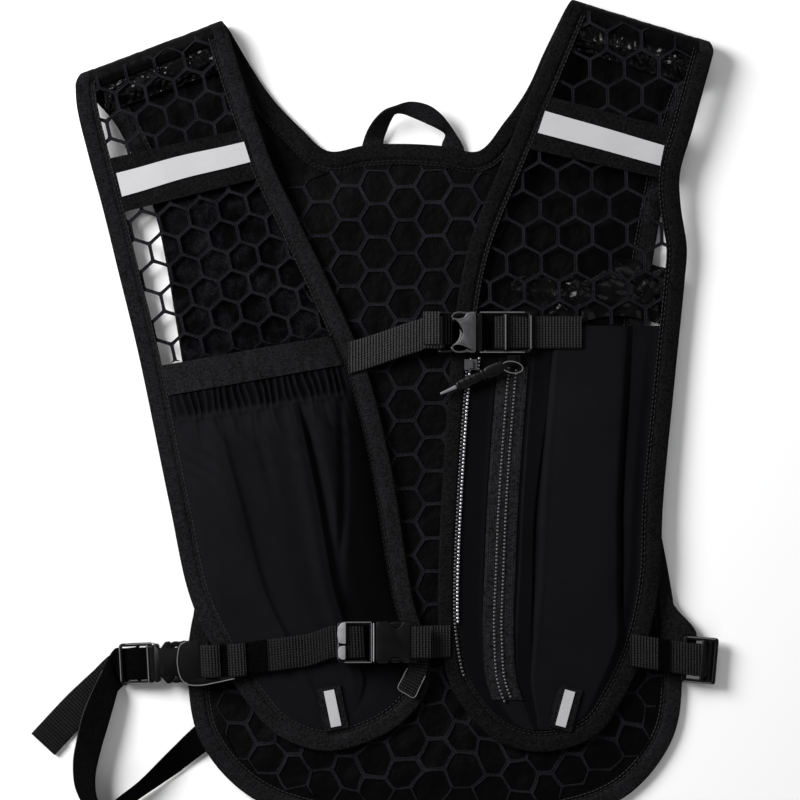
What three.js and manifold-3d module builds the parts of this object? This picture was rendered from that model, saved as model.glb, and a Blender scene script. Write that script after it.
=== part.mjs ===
// A black sports vest of honeycomb net and cloth, lying on its padded back with both fronts folded
// over at the shoulders. X runs to the right and Y towards the shoulders as it lies, Z up, in mm.
import * as THREE from "three";
import { mergeVertices } from "three/addons/utils/BufferGeometryUtils.js";
import Module from "manifold-3d";

const wasm = await Module();
wasm.setup();

// Driving dimensions
const GAP = 0.4; // clear space between pieces that are sewn or threaded together
const CLOTH = 1.2; // net, front panels and trim tapes
const POCKET_CLOTH = 1;
const YOKE_CLOTH = 2;
const PADDING = 8; // thickness of the padded back panel
const BINDING_WIDTH = 9.5;
const BINDING_WALL = 0.8;
const BINDING_EASE = 0.35; // extra room inside the bindings of the fronts, whose cloth is not flat
const BINDING_BITE = 2.4; // from the binding's outer edge to the edge of the cloth inside it
const FOLD_RADIUS = 5.5; // shoulder fold, to the middle of the cloth
const FOLD_SEAM = 10; // from the shoulder fold to the seam where the front net starts
const DROOP_START = 14; // how far inside the back panel's edge a front starts to sink towards the floor
const DROOP_SLOPE = 0.11;
const WEBBING = 20;
const WEBBING_THICK = 1.4;
const NET_BAR = 3; // width of the bars between the net's cells
const NET_MARGIN = 3; // plain edge of the net beside a seam
const NET_REACH = 120; // half of the widest front, and how far the net's lower edge bows over it
const NET_BOW = 1.5;
const DRAPE_ERROR = 0.3; // how far a flat facet of the net may lie off its curved front
const DRAPE_ROUNDS = 2; // times that a facet may be halved for that
const LEAST_CELL = 0.45; // share of a cell that is still cut through where an edge crosses it
const LEFT_BULGE = 10; // how far each pocket stands off its front panel
const RIGHT_BULGE = 7;
const ROUNDING = 0.6; // power of the sine across the left pocket: less is squarer
const RUFFLES = 13; // gathers below the left pocket's elastic
const RUFFLE_DEPTH = 0.9;
const TRIM = 0.8; // thickness of tapes and tabs sewn on
const FOIL = 0.5; // reflective strips
const TEETH = 1.6; // height of the zips' teeth
// Side-release buckles. The socket's webbing is sewn round a bar beside a slot, and a notch on each side
// shows the plug's prongs. The plug has a base, two prongs, a tongue and a ladder of two rails and two bars.
const SOCKET = {
  width: 26, thick: 7.5, wall: 1.6, side: 3, bar: 2.2, barLow: 2.3, barHigh: 5.2, slot: 3.4, notch: 3.4,
};
const PLUG = {
  base: 5.5, margin: 0.8, prongLow: 2.05, prongThick: 3.4, tongue: 3.2, rail: 2.2, railHigh: 5.4,
};
const ZIP_SLIDER = { width: 8, length: 6.6, height: 2.8, bridge: 2.4, top: 4.2 };

const BACK_MID = YOKE_CLOTH / 2 + GAP + BINDING_WALL;
const FRONT_HIGH = BACK_MID + 2 * FOLD_RADIUS;
const FRONT_LOW = PADDING + CLOTH / 2 + BINDING_WALL + 3 * GAP;
const ON_FRONT = CLOTH / 2 + GAP; // from the middle of a front panel to a piece sewn on it

const BLACK_NET = new THREE.MeshStandardMaterial({ color: 0x0d0d0f, roughness: 0.85 });
const BLACK_CLOTH = new THREE.MeshStandardMaterial({ color: 0x0b0b0c, roughness: 0.8 });
const BLACK_TAPE = new THREE.MeshStandardMaterial({ color: 0x17171a, roughness: 0.75 });
const BLACK_WEBBING = new THREE.MeshStandardMaterial({ color: 0x1d1d20, roughness: 0.7 });
const BLACK_PLASTIC = new THREE.MeshStandardMaterial({ color: 0x101012, roughness: 0.35 });
const BLACK_METAL = new THREE.MeshStandardMaterial({ color: 0x1a1a1c, roughness: 0.3, metalness: 0.8 });
const REFLECTIVE = new THREE.MeshStandardMaterial({ color: 0xc4c5c9, roughness: 0.4, metalness: 0.2 });

const table = (columns, ...rows) =>
  rows.map((row) => Object.fromEntries(columns.map((name, i) => [name, row[i]])));
const lerp = THREE.MathUtils.lerp;
const ramp = THREE.MathUtils.smoothstep;
const at = (x = 0, y = 0, z = 0) => new THREE.Vector3(x, y, z);
const UP = at(0, 0, 1);
const FOLD_STEPS = [-90, -45, 0, 45, 90]; // degrees round the shoulder fold, from the back layer to the front

// Outer edges of the two fronts, from the corner at the shoulder that lies further left, down, round the
// pocket's end and up again.
const LEFT_FRONT = table(
  ["x", "y"],
  [-225, 207.5], [-224, 190], [-217, 160], [-209, 130], [-197.5, 83], [-186, 36], [-166.5, -58],
  [-153.5, -116], [-135, -155], [-119, -179.5], [-100, -200.5], [-71, -211], [-41, -204.5], [-18, -190],
  [-5, -170], [-7, -143],
  [-15, -115.5], [-28, -35.5], [-43, 24.5], [-57.5, 59.5], [-87, 122], [-101, 151], [-116, 192.5],
  [-132, 242.5],
);
const RIGHT_FRONT = table(
  ["x", "y"],
  [82, 255.5], [40, 155], [21, 107.5], [12, 64], [0.5, -109.5], [2, -142.5], [10, -174], [37, -204.5],
  [68, -211.5], [100, -200.5], [117, -176], [130, -146], [138.5, -105], [140.5, -58], [148, 20], [154, 80],
  [155.5, 102], [151.5, 129], [151, 148], [159, 176.5], [173, 227.5],
);
// Back panel edge from the left yoke's seam round the waist to the right yoke's seam.
const BACK_EDGE = table(
  ["x", "y"],
  [-176, 124], [-160, 37], [-149, -45], [-151, -115], [-155.5, -165], [-148, -205], [-120, -238],
  [-78, -255], [0, -258.5], [78, -255], [120, -238.5], [147, -204], [153, -165], [147, -115], [134, -40],
  [128.5, 40], [143, 140],
);
const NECK_EDGE = table(["x", "y"], [-68, 163], [-45, 166.5], [-20, 167.5], [5, 166], [26, 163]);
// Each yoke from its seam on the back panel to its shoulder fold: armhole edge and neck edge.
const LEFT_YOKE = table(
  ["armX", "armY", "neckX", "neckY"],
  [-176, 124, -68, 163], [-189, 157, -85, 177], [-201, 180, -103, 196], [-214, 195, -117, 217],
  [-225, 207.5, -132, 242.5],
);
const RIGHT_YOKE = table(
  ["armX", "armY", "neckX", "neckY"],
  [143, 140, 26, 163], [150, 166, 42, 181], [157, 190, 56, 201], [166, 212, 67, 225],
  [173, 227.5, 82, 255.5],
);
// Honeycomb of the two fronts: cell pitch across, row pitch, turn in degrees, and the centre of one cell.
const NETS = {
  left: { pitch: 18.5, row: 16, turn: 12.5, x: -181.5, y: 115 },
  right: { pitch: 21.5, row: 17.2, turn: 1, x: 75, y: 127 },
};
// The lower edge of each net, where the pocket or its elastic starts: a point and the slope there.
const NET_ENDS = {
  left: { x: -110, y: 40, slope: 0.175 },
  right: { x: 80, y: 54, slope: 0 },
};
// Trim on the fronts: the corners of each piece, upper left, upper right, lower left and lower right.
const SHOULDER_TRIM = {
  left: {
    tape: table(["x", "y"], [-200, 158.5], [-125, 175], [-193, 125], [-116.5, 144]),
    reflector: table(["x", "y"], [-199.5, 148.5], [-121.5, 167.5], [-196, 134], [-117.5, 155]),
  },
  right: {
    tape: table(["x", "y"], [70, 196], [141, 177.5], [59.5, 163], [137.5, 145.5]),
    reflector: table(["x", "y"], [67, 187], [141, 165.5], [62.5, 173.5], [138.5, 153]),
  },
};
const END_TABS = {
  left: { x: -65, y: -184, turn: 11.5 },
  right: { x: 79.5, y: -184, turn: -15 },
};
const TAB = { width: 15, length: 27, reflector: 6.5, shown: 23 };
// The wings where the side straps leave the back, on top of its binding.
const WINGS = {
  left: table(["x", "y"], [-141, -108], [-152, -117], [-160, -137], [-157, -153], [-143, -158]),
  right: table(["x", "y"], [138, -104], [149, -122], [162, -138.5], [157, -152], [140, -158]),
};
// Two edges of the webbing loop at the neck, and of the left side strap from its buckle round to the back.
const GRAB_LOOP = table(
  ["ax", "ay", "az", "bx", "by", "bz"],
  [-46.5, 168.2, 2.2, -32.5, 168.6, 2.2], [-43, 177, 8, -30, 178, 6], [-32.5, 188, 14, -27, 185, 5],
  [-17, 193, 16, -18, 184, 6], [-3, 189, 14, -7.5, 179, 6], [8, 178, 9, -0.5, 172.5, 5],
  [16.5, 165.6, 2.2, 3, 167.2, 2.2],
);
const SIDE_LOOP = table(
  ["ax", "ay", "az", "bx", "by", "bz"],
  [-208.5, -161, 5, -198.5, -171, 7.5], [-220.5, -187.5, 3.6, -204, -192.5, 11],
  [-224.5, -204, 2.4, -209, -209.5, 12], [-227, -219.5, 1.2, -212.5, -225.5, 13],
  [-225, -236.5, 1.2, -212, -237.5, 15.5], [-215.5, -250.5, 1.2, -209, -243, 17.5],
  [-200, -252, 1.2, -203, -243, 18], [-187, -242, 1.2, -196, -238, 17], [-173, -232.5, 1.2, -185, -220, 11],
  [-159, -223, 1.2, -167, -206, 5], [-143.5, -217, 2.2, -152.5, -198, 2.2],
);
const SIDE_TAIL = table(
  ["x", "y", "z"],
  [-186, -156.5, 1.2], [-197, -159, 1.2], [-208, -169, 1.2], [-224, -184, 1.2], [-240, -201, 1.2],
  [-246, -207.5, 1.2],
);
// Webbing in a buckle's own frame: sewn round the socket's bar, and threaded through a ladder, whose places
// are measured from the ladder's end and from its middle bar.
const BAR_WRAP = table(
  ["x", "z"],
  [-8, 6.4], [1.1, 6.3], [3.5, 5.5], [3.9, 3.75], [3.5, 2], [1.1, 1.2], [-8, 1.1],
);
const LADDER_BARS = table(
  ["from", "x0", "x1", "z0", "z1"],
  ["end", -2.4, 0, 3.2, 5.8], ["middle", -1.3, 1.3, 0.5, 2.9],
);
const MIDDLE_BAR = 0.42; // share of the ladder's length
const LADDER_WEB = table(
  ["from", "x", "z"],
  ["end", 3, 1.7], ["end", -1.2, 1.9], ["middle", 4, 3.6], ["middle", 0, 4.4], ["middle", -4, 3.7],
  ["middle", -6.2, 2.8],
);
// The straps between the buckles and the cloth that they are sewn to.
const CHEST_LEFT = table(
  ["x", "y", "z"],
  [-55, 33.5, 14.2], [-40, 38, 14.2], [-20, 45, 15.2], [-9, 48.5, 16],
);
const CHEST_RIGHT = table(["x", "y", "z"], [89.5, 49.5, 17.4], [74, 49.5, 17]);
const WAIST_LEFT = table(
  ["x", "y"],
  [-134, -154.5], [-121, -153.5], [-108, -151.5], [-94, -149.5], [-80, -147.5],
);
const WAIST_RIGHT = table(["x", "y", "z"], [8, -142.5, 13.9], [-1, -142.5, 15]);
const WAIST_TAIL = table(["x", "y", "z"], [-14.5, -146, 14.5], [-16.5, -160, 14.9], [-19.5, -176, 14.7]);
const WAIST_TAIL_WIDTH = 12.5;
const SIDE_RIGHT = table(
  ["x", "y", "z"],
  [120, -148, 13.8], [131, -149.5, 13.7], [141, -151, 13], [152, -153, 11.2],
);
// Webbing round the slider's bar, in the slider's frame.
const SLIDER_WRAP = table(
  ["x", "z"],
  [-6.5, 3], [-3.6, 2.7], [-1.7, 2.4], [-0.4, 1], [-0.4, -1], [-1.7, -2.4], [-3.6, -2.7], [-14, -2.7],
);
const ZIP_PULL = table(
  ["x", "y", "z", "width", "thick"],
  [46, 31, 21.5, 4, 2], [40, 29, 21, 7.5, 2], [33, 26, 19.6, 7.5, 2.4], [30, 24.8, 19.2, 4, 2.4],
  [26, 23, 18.8, 6, 3.2], [13, 16.5, 17.6, 5, 3], [2, 11.3, 16.8, 2.6, 2],
);
// Side-release buckles: length of the socket and of the plug's ladder, the middle of the socket's bar, and
// how the buckle is turned about Z and tipped down along its length, in degrees.
const BUCKLES = {
  chest: { socket: 24, ladder: 29, x: 0, y: 49.5, z: 15, turn: 0, tip: 0 },
  waist: { socket: 26, ladder: 18, x: -12.5, y: -142.5, z: 15.9, turn: 180, tip: -3 },
  side: { socket: 21, ladder: 20, x: -151, y: -155, z: 7.8, turn: 183, tip: 8 },
};
const SLIDER = { x: 168.7, y: -155, z: 6.4, turn: -5, length: 11.4, width: 29, thick: 3, bar: 2.2, rim: 3.2 };
// How high a pocket stands along its length (0 its mouth, 1 its end) and, on the right, across it.
const LEFT_SWELL = table(
  ["along", "rise"],
  [0, 0.75], [0.065, 0.77], [0.16, 0.95], [0.35, 1], [0.55, 0.85], [0.7, 0.5], [0.86, 0.28], [1, 0.02],
);
const LEFT_FOLDS = table(["across", "height", "width"], [0.28, 1.2, 0.05], [0.67, -2, 0.05], [0.76, 1, 0.04]);
const RIGHT_SWELL = table(
  ["along", "rise"],
  [0, 0.4], [0.08, 0.6], [0.2, 0.85], [0.36, 1], [0.52, 1], [0.68, 0.9], [0.82, 0.6], [0.92, 0.3], [1, 0.05],
);
const RIGHT_PLEATS = table(
  ["across", "rise"],
  [0, 0.1], [0.08, 0.16], [0.17, 0.26], [0.235, 0.3], [0.3, 0.32], [0.41, 0.4], [0.45, 0.78], [0.54, 0.94],
  [0.68, 1], [0.8, 0.9], [0.84, 0.55], [0.92, 0.32], [1, 0],
);
const LEFT_COLUMNS = 2 * RUFFLES;
const POCKET_END = -199; // y of both pockets' lower ends
const BASE_END = -207; // y of the lower ends of the cloth behind them
const BASE_COLUMNS = [0, 0.06, 0.15, 0.3, 0.5, 0.7, 0.85, 0.94, 1];
const INNER_ZIP = { across: 0.012, width: 4, from: 0.11, to: 0.86 };
const OUTER_ZIP = { across: 0.235, width: 5.5, tape: 19, from: 0.1, to: 0.92 };

function between(rows, key, value, where) {
  const after = rows.findIndex((row) => row[key] >= where);
  if (after < 0) return rows[rows.length - 1][value];
  if (after === 0) return rows[0][value];
  const [a, b] = [rows[after - 1], rows[after]];
  return lerp(a[value], b[value], (where - a[key]) / (b[key] - a[key]));
}

// Points along a smooth curve through a table's rows, the same number in each span.
function curve(rows, perSpan = 2) {
  const line = new THREE.CatmullRomCurve3(rows.map(({ x, y, z = 0 }) => at(x, y, z)));
  return line.getPoints((rows.length - 1) * perSpan);
}

function tangents(points, closed = false) {
  const last = points.length - 1;
  return points.map((point, i) => {
    const before = points[i > 0 ? i - 1 : closed ? last : 0];
    const after = points[i < last ? i + 1 : closed ? 0 : last];
    return after.clone().sub(before).normalize();
  });
}

// A flat line moved sideways, to its left, with mitred corners.
function inset(points, distance, closed = false) {
  const last = points.length - 1;
  const way = (i, j) => points[j].clone().sub(points[i]).setZ(0).normalize();
  return points.map((p, i) => {
    const next = i < last ? way(i, i + 1) : closed ? way(last, 0) : way(last - 1, last);
    const before = i > 0 ? way(i - 1, i) : closed ? way(last, 0) : next;
    const mitre = distance / (1 + next.dot(before));
    return at(p.x - (next.y + before.y) * mitre, p.y + (next.x + before.x) * mitre);
  });
}

// A closed solid from rings of points, each ring joined to the next and the two ends closed by faces.
function loft(rings, endFaces) {
  const count = rings[0].length;
  const last = (rings.length - 1) * count;
  const index = endFaces.flatMap(([a, b, c]) => [a, c, b, last + a, last + b, last + c]);
  for (let start = 0; start < last; start += count)
    for (let i = 0; i < count; i++) {
      const a = start + i;
      const b = start + ((i + 1) % count);
      index.push(a, b, a + count, b, b + count, a + count);
    }
  const geometry = new THREE.BufferGeometry().setFromPoints(rings.flat()).setIndex(index);
  return facingOut(geometry);
}

function facingOut(geometry) {
  const p = geometry.getAttribute("position");
  const index = geometry.index.array;
  const corner = (i) => at(p.getX(index[i]), p.getY(index[i]), p.getZ(index[i]));
  let volume = 0;
  for (let i = 0; i < index.length; i += 3) volume += corner(i).dot(corner(i + 1).cross(corner(i + 2)));
  if (volume < 0)
    for (let i = 0; i < index.length; i += 3) [index[i], index[i + 1]] = [index[i + 1], index[i]];
  return geometry;
}

// A sheet from rows of points: each point has the two faces' places, above and below.
function sheet(rows) {
  const count = rows[0].length;
  const ends = rows[0].slice(1).flatMap((_, i) => {
    const under = 2 * count - 1 - i;
    return [[i, i + 1, under - 1], [i, under - 1, under]];
  });
  const rings = rows.map((row) => [...row.map((p) => p.above), ...row.map((p) => p.below).reverse()]);
  return loft(rings, ends);
}

// A flat band along a path: its width lies across the path, level unless an across direction is given.
function ribbon(points, { width = WEBBING, thick = WEBBING_THICK, across = null } = {}) {
  const along = tangents(points);
  const rings = points.map((point, i) => {
    const side = across ?? UP.clone().cross(along[i]).normalize();
    const normal = along[i].clone().cross(side).normalize();
    return [[-1, -1], [1, -1], [1, 1], [-1, 1]].map(([s, n]) =>
      point.clone().addScaledVector(side, (s * width) / 2).addScaledVector(normal, (n * thick) / 2),
    );
  });
  return loft(rings, [[0, 1, 2], [0, 2, 3]]);
}

// A folded tape along an edge, open towards the cloth that it holds: its normals follow the cloth.
function binding(path, side, cloth, ease = 0) {
  const slot = cloth / 2 + GAP + ease;
  const face = slot + BINDING_WALL;
  const floor = BINDING_BITE - GAP;
  const profile = [
    [BINDING_WIDTH, -slot], [floor, -slot], [floor, slot], [BINDING_WIDTH, slot],
    [BINDING_WIDTH, face], [0, face], [0, -face], [BINDING_WIDTH, -face],
  ];
  const along = tangents(path.map((p) => p.point));
  const rings = path.map(({ point, normal, inward }, i) => {
    const into = inward ?? normal.clone().cross(along[i]).normalize().multiplyScalar(side);
    return profile.map(([depth, lift]) =>
      point.clone().addScaledVector(into, depth).addScaledVector(normal, lift),
    );
  });
  const section = profile.map(([depth, lift]) => new THREE.Vector2(depth, lift));
  return loft(rings, THREE.ShapeUtils.triangulateShape(section, []));
}

// A flat plate of an outline, from z 0 up.
function plate(outline, thick) {
  const shape = new THREE.Shape(outline.map(({ x, y }) => new THREE.Vector2(x, y)));
  return new THREE.ExtrudeGeometry(shape, { depth: thick, bevelEnabled: false });
}

// Moves each point of a shape up by a height that depends on its place. An edge over which that height
// bends is split first.
function drape(geometry, height) {
  const source = geometry.getAttribute("position");
  const index = Array.from(geometry.index.array);
  const corners = Array.from({ length: source.count }, (_, i) => at().fromBufferAttribute(source, i));
  const rises = corners.map(({ x, y }) => height(x, y));
  let faces = Array.from({ length: index.length / 3 }, (_, i) => index.slice(3 * i, 3 * i + 3));
  let middles = new Map();
  const middle = (i, j) => {
    const key = `${Math.min(i, j)} ${Math.max(i, j)}`;
    if (!middles.has(key)) {
      const point = corners[i].clone().lerp(corners[j], 0.5);
      const rise = height(point.x, point.y);
      const bent = Math.abs(rise - (rises[i] + rises[j]) / 2) > DRAPE_ERROR;
      middles.set(key, bent ? corners.push(point) - 1 : null);
      if (bent) rises.push(rise);
    }
    return middles.get(key);
  };
  for (let round = 0; round < DRAPE_ROUNDS; round++) {
    middles = new Map();
    faces = faces.flatMap(([a, b, c]) => {
      const ring = [middle(a, b), b, middle(b, c), c, middle(c, a), a];
      const first = [0, 2, 4].find((k) => ring[k] !== null);
      if (first === undefined) return [[a, b, c]];
      const turned = [...ring.slice(first), ...ring.slice(0, first)];
      const [hub, ...rest] = turned.filter((corner) => corner !== null);
      return rest.slice(1).map((corner, k) => [hub, rest[k], corner]);
    });
  }
  const raised = corners.map((corner, i) => corner.setZ(corner.z + rises[i]));
  return new THREE.BufferGeometry().setFromPoints(raised).setIndex(faces.flat());
}

function solid(geometry) {
  const bare = new THREE.BufferGeometry().setAttribute("position", geometry.getAttribute("position"));
  const merged = mergeVertices(bare.setIndex(geometry.index), 1e-4);
  return new wasm.Manifold(
    new wasm.Mesh({
      numProp: 3,
      vertProperties: new Float32Array(merged.getAttribute("position").array),
      triVerts: new Uint32Array(merged.index.array),
    }),
  );
}

function shapeOf(manifold) {
  const { vertProperties, triVerts } = manifold.getMesh();
  return new THREE.BufferGeometry()
    .setAttribute("position", new THREE.BufferAttribute(vertProperties, 3))
    .setIndex(new THREE.BufferAttribute(triVerts, 1));
}

// A sheet over four corners, laid on a height that depends on the place.
function patch([a, b, c, d], under, thick, columns = 6, rows = 2) {
  const mix = (p, q, share) => ({ x: lerp(p.x, q.x, share), y: lerp(p.y, q.y, share) });
  return sheet(
    Array.from({ length: rows + 1 }, (_, j) =>
      Array.from({ length: columns + 1 }, (_, i) => {
        const { x, y } = mix(mix(a, b, i / columns), mix(c, d, i / columns), j / rows);
        const z = under(x, y);
        return { above: at(x, y, z + thick), below: at(x, y, z) };
      }),
    ),
  );
}

// A band between two edge lines.
function edgedBand(rows, thick = WEBBING_THICK) {
  const middles = rows.map((r) => at(r.ax + r.bx, r.ay + r.by, r.az + r.bz).divideScalar(2));
  const along = tangents(middles);
  const rings = rows.map((r, i) => {
    const [a, b] = [at(r.ax, r.ay, r.az), at(r.bx, r.by, r.bz)];
    const normal = along[i].clone().cross(b.clone().sub(a)).normalize().multiplyScalar(thick / 2);
    return [a.clone().add(normal), b.clone().add(normal), b.sub(normal), a.sub(normal)];
  });
  return loft(rings, [[0, 1, 2], [0, 2, 3]]);
}

// Joins solids that overlap into one.
function fuse(...geometries) {
  return geometries.map(solid).reduce((all, next) => all.add(next));
}

function box(x0, x1, y0, y1, z0, z1) {
  const size = new THREE.BoxGeometry(x1 - x0, y1 - y0, z1 - z0);
  return size.translate((x0 + x1) / 2, (y0 + y1) / 2, (z0 + z1) / 2);
}

const vest = new THREE.Group();

function add(name, geometry, material, parent = vest) {
  const mesh = new THREE.Mesh(geometry, material);
  mesh.name = name;
  parent.add(mesh);
  return mesh;
}

const points = (rows, x, y) => rows.map((row) => at(row[x], row[y]));

// The shoulder fold of one edge: a half turn from the back layer up to the front layer, out to the corner.
function foldArc(corner, backWay, frontWay, ruling) {
  const arc = FOLD_STEPS.map((degrees) => {
    const angle = THREE.MathUtils.degToRad(degrees);
    const way = degrees < 0 ? backWay : frontWay;
    const point = corner.clone().addScaledVector(way, FOLD_RADIUS * (1 - Math.cos(angle)));
    point.z = BACK_MID + FOLD_RADIUS * (1 + Math.sin(angle));
    const outward = way.clone().multiplyScalar(-Math.cos(angle)).setZ(Math.sin(angle));
    const along = way.clone().multiplyScalar(Math.sin(angle)).setZ(Math.cos(angle));
    const normal = ruling.clone().cross(along).normalize();
    return { point, normal: normal.dot(outward) < 0 ? normal.negate() : normal, inward: ruling };
  });
  const seam = corner.clone().addScaledVector(frontWay, FOLD_SEAM).setZ(FRONT_HIGH);
  return [...arc, { point: seam, normal: UP.clone(), inward: ruling }];
}

// An edge of the back from one shoulder's front seam, over the fold, along the back and up the other side.
function backPath(edge, middle, leftFrontWay, rightFrontWay) {
  const [leftYoke, rightYoke] = [LEFT_YOKE, RIGHT_YOKE].map((rows) => points(rows, `${edge}X`, `${edge}Y`));
  const [left, right] = [LEFT_YOKE, RIGHT_YOKE].map((rows, i) => {
    const [near, fold] = rows.slice(-2);
    const corner = at(fold[`${edge}X`], fold[`${edge}Y`]);
    const backWay = at(near[`${edge}X`], near[`${edge}Y`]).sub(corner).normalize();
    const ruling = at(fold.neckX - fold.armX, fold.neckY - fold.armY).normalize();
    if (edge === "neck") ruling.negate();
    return foldArc(corner, backWay, i ? rightFrontWay : leftFrontWay, ruling);
  });
  const control = [left[0].point, ...leftYoke.slice(1, -1).reverse(), ...middle,
    ...rightYoke.slice(1, -1), right[0].point].map((p) => p.clone().setZ(BACK_MID));
  const flat = curve(control).map((point) => ({ point, normal: at(0, 0, -1) }));
  return [...left.reverse(), ...flat.slice(1, -1), ...right];
}

const frontPaths = { left: curve(LEFT_FRONT), right: curve(RIGHT_FRONT) };
const wayIn = (points, i, j) => points[j].clone().sub(points[i]).normalize();
const frontWays = Object.fromEntries(
  Object.entries(frontPaths).map(([side, p]) => [
    side, { first: wayIn(p, 0, 1), last: wayIn(p, p.length - 1, p.length - 2) },
  ]),
);
const armPath = backPath("arm", points(BACK_EDGE, "x", "y"), frontWays.left.first, frontWays.right.last);
const neckPath = backPath("neck", points(NECK_EDGE, "x", "y"), frontWays.left.last, frontWays.right.first);
const YOKE_STEPS = FOLD_STEPS.length + 2 * (LEFT_YOKE.length - 1); // rows of a path down to the back seam

// Where the back layer ends on each side, at a height along the vest: fronts droop past it.
const backSides = {
  left: armPath.slice(FOLD_STEPS.length, armPath.length / 2),
  right: armPath.slice(armPath.length / 2, -FOLD_STEPS.length),
};
for (const side of ["left", "right"])
  backSides[side] = backSides[side].map(({ point }) => point).sort((a, b) => a.y - b.y);

// Middle of a front panel's cloth.
function frontHeight(side, x, y) {
  const past = side === "left"
    ? between(backSides.left, "y", "x", y) - x
    : x - between(backSides.right, "y", "x", y);
  const resting = lerp(FRONT_LOW, FRONT_HIGH, ramp(y, 60, 190));
  return resting - DROOP_SLOPE * Math.max(0, past + DROOP_START) * (1 - ramp(y, 110, 205));
}

// The direction square to a cloth of given height at a place, measured a binding's width either side.
function slopeNormal(height, x, y) {
  const reach = BINDING_WIDTH;
  const rise = (dx, dy) => (height(x + dx, y + dy) - height(x - dx, y - dy)) / (2 * reach);
  return at(-rise(reach, 0), -rise(0, reach), 1).normalize();
}

// Where the space inside a front's binding starts and ends across, at a height along the vest.
function pocketSides(side, y, depth = BINDING_WIDTH + 3 * GAP) {
  const line = inset(frontPaths[side], depth);
  const crossings = [];
  for (let i = 1; i < line.length; i++) {
    const [a, b] = [line[i - 1], line[i]];
    if (a.y === b.y || (a.y - y) * (b.y - y) > 0) continue;
    crossings.push(lerp(a.x, b.x, (y - a.y) / (b.y - a.y)));
  }
  return [Math.min(...crossings), Math.max(...crossings)];
}

const MOUTH_DROP = { left: 20 + GAP, right: GAP }; // from the net's lower edge to the pocket's own cloth

// Height of a pocket's cloth off its front panel, by its share across and along.
function pocketRise(side, across, along) {
  if (side === "right") {
    const pleat = between(RIGHT_PLEATS, "across", "rise", across);
    return RIGHT_BULGE * between(RIGHT_SWELL, "along", "rise", along) * pleat;
  }
  const dome = Math.sin(Math.PI * across) ** ROUNDING;
  const swell = LEFT_BULGE * between(LEFT_SWELL, "along", "rise", along) * dome;
  const fade = ramp(along, 0.05, 0.2) * (1 - ramp(along, 0.7, 0.95));
  const folds = LEFT_FOLDS.reduce(
    (sum, fold) => sum + fold.height * Math.exp(-(((across - fold.across) / fold.width) ** 2)), 0,
  );
  const gathers = RUFFLE_DEPTH * Math.cos(2 * Math.PI * RUFFLES * across) * (1 - ramp(along, 0.05, 0.14));
  return Math.max(0, swell + folds * fade + gathers * Math.min(1, swell / 3));
}

// A place on a pocket, by its share across and along, and the top of its cloth there.
function pocketPlace(side, across, along) {
  const end = NET_ENDS[side];
  const top = end.y - MOUTH_DROP[side];
  let x = end.x;
  let y = top;
  for (let i = 0; i < 6; i++) {
    y = lerp(top, POCKET_END, along) + end.slope * (1 - along) * (x - end.x);
    const [x0, x1] = pocketSides(side, y);
    x = lerp(x0, x1, across);
  }
  return at(x, y, frontHeight(side, x, y) + ON_FRONT + pocketRise(side, across, along) + POCKET_CLOTH);
}

// The top of a pocket's cloth at a place in plan.
function pocketTop(side, x, y) {
  const end = NET_ENDS[side];
  const top = end.y - MOUTH_DROP[side];
  const flatAlong = (top - y) / (top - POCKET_END);
  const start = top + end.slope * (1 - THREE.MathUtils.clamp(flatAlong, 0, 1)) * (x - end.x);
  const along = THREE.MathUtils.clamp((start - y) / (start - POCKET_END), 0, 1);
  const [x0, x1] = pocketSides(side, Math.max(y, POCKET_END));
  const across = THREE.MathUtils.clamp((x - x0) / (x1 - x0), 0, 1);
  return frontHeight(side, x, y) + ON_FRONT + pocketRise(side, across, along) + POCKET_CLOTH;
}

// Back panel: a padded pillow inside the back edge and neck bindings, flat underneath.
function backPanel() {
  const edgeRows = armPath.slice(YOKE_STEPS, armPath.length - YOKE_STEPS).map(({ point }) => point);
  const neckRows = neckPath.slice(YOKE_STEPS, neckPath.length - YOKE_STEPS).map(({ point }) => point);
  const outline = [...inset(edgeRows, BINDING_BITE), ...inset(neckRows.reverse(), BINDING_BITE)];
  const rims = table(
    ["in", "above", "below"],
    [0, BACK_MID + 1, BACK_MID - 1],
    [BINDING_WIDTH - BINDING_BITE + GAP, BACK_MID + 1, BACK_MID - 1],
    [BINDING_WIDTH - BINDING_BITE + 3, BACK_MID + 2, 0],
    [38, PADDING, 0],
  );
  const ring = (rim, face) => inset(outline, rim.in, true).map((p) => p.setZ(rim[face]));
  const below = rims.slice(0, 3).reverse().map((rim) => ring(rim, "below"));
  const above = rims.map((rim) => ring(rim, "above"));
  const faces = THREE.ShapeUtils.triangulateShape(outline.map((p) => new THREE.Vector2(p.x, p.y)), []);
  return loft([...below, ...above], faces);
}
add("back_panel", backPanel(), BLACK_CLOTH);

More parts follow.
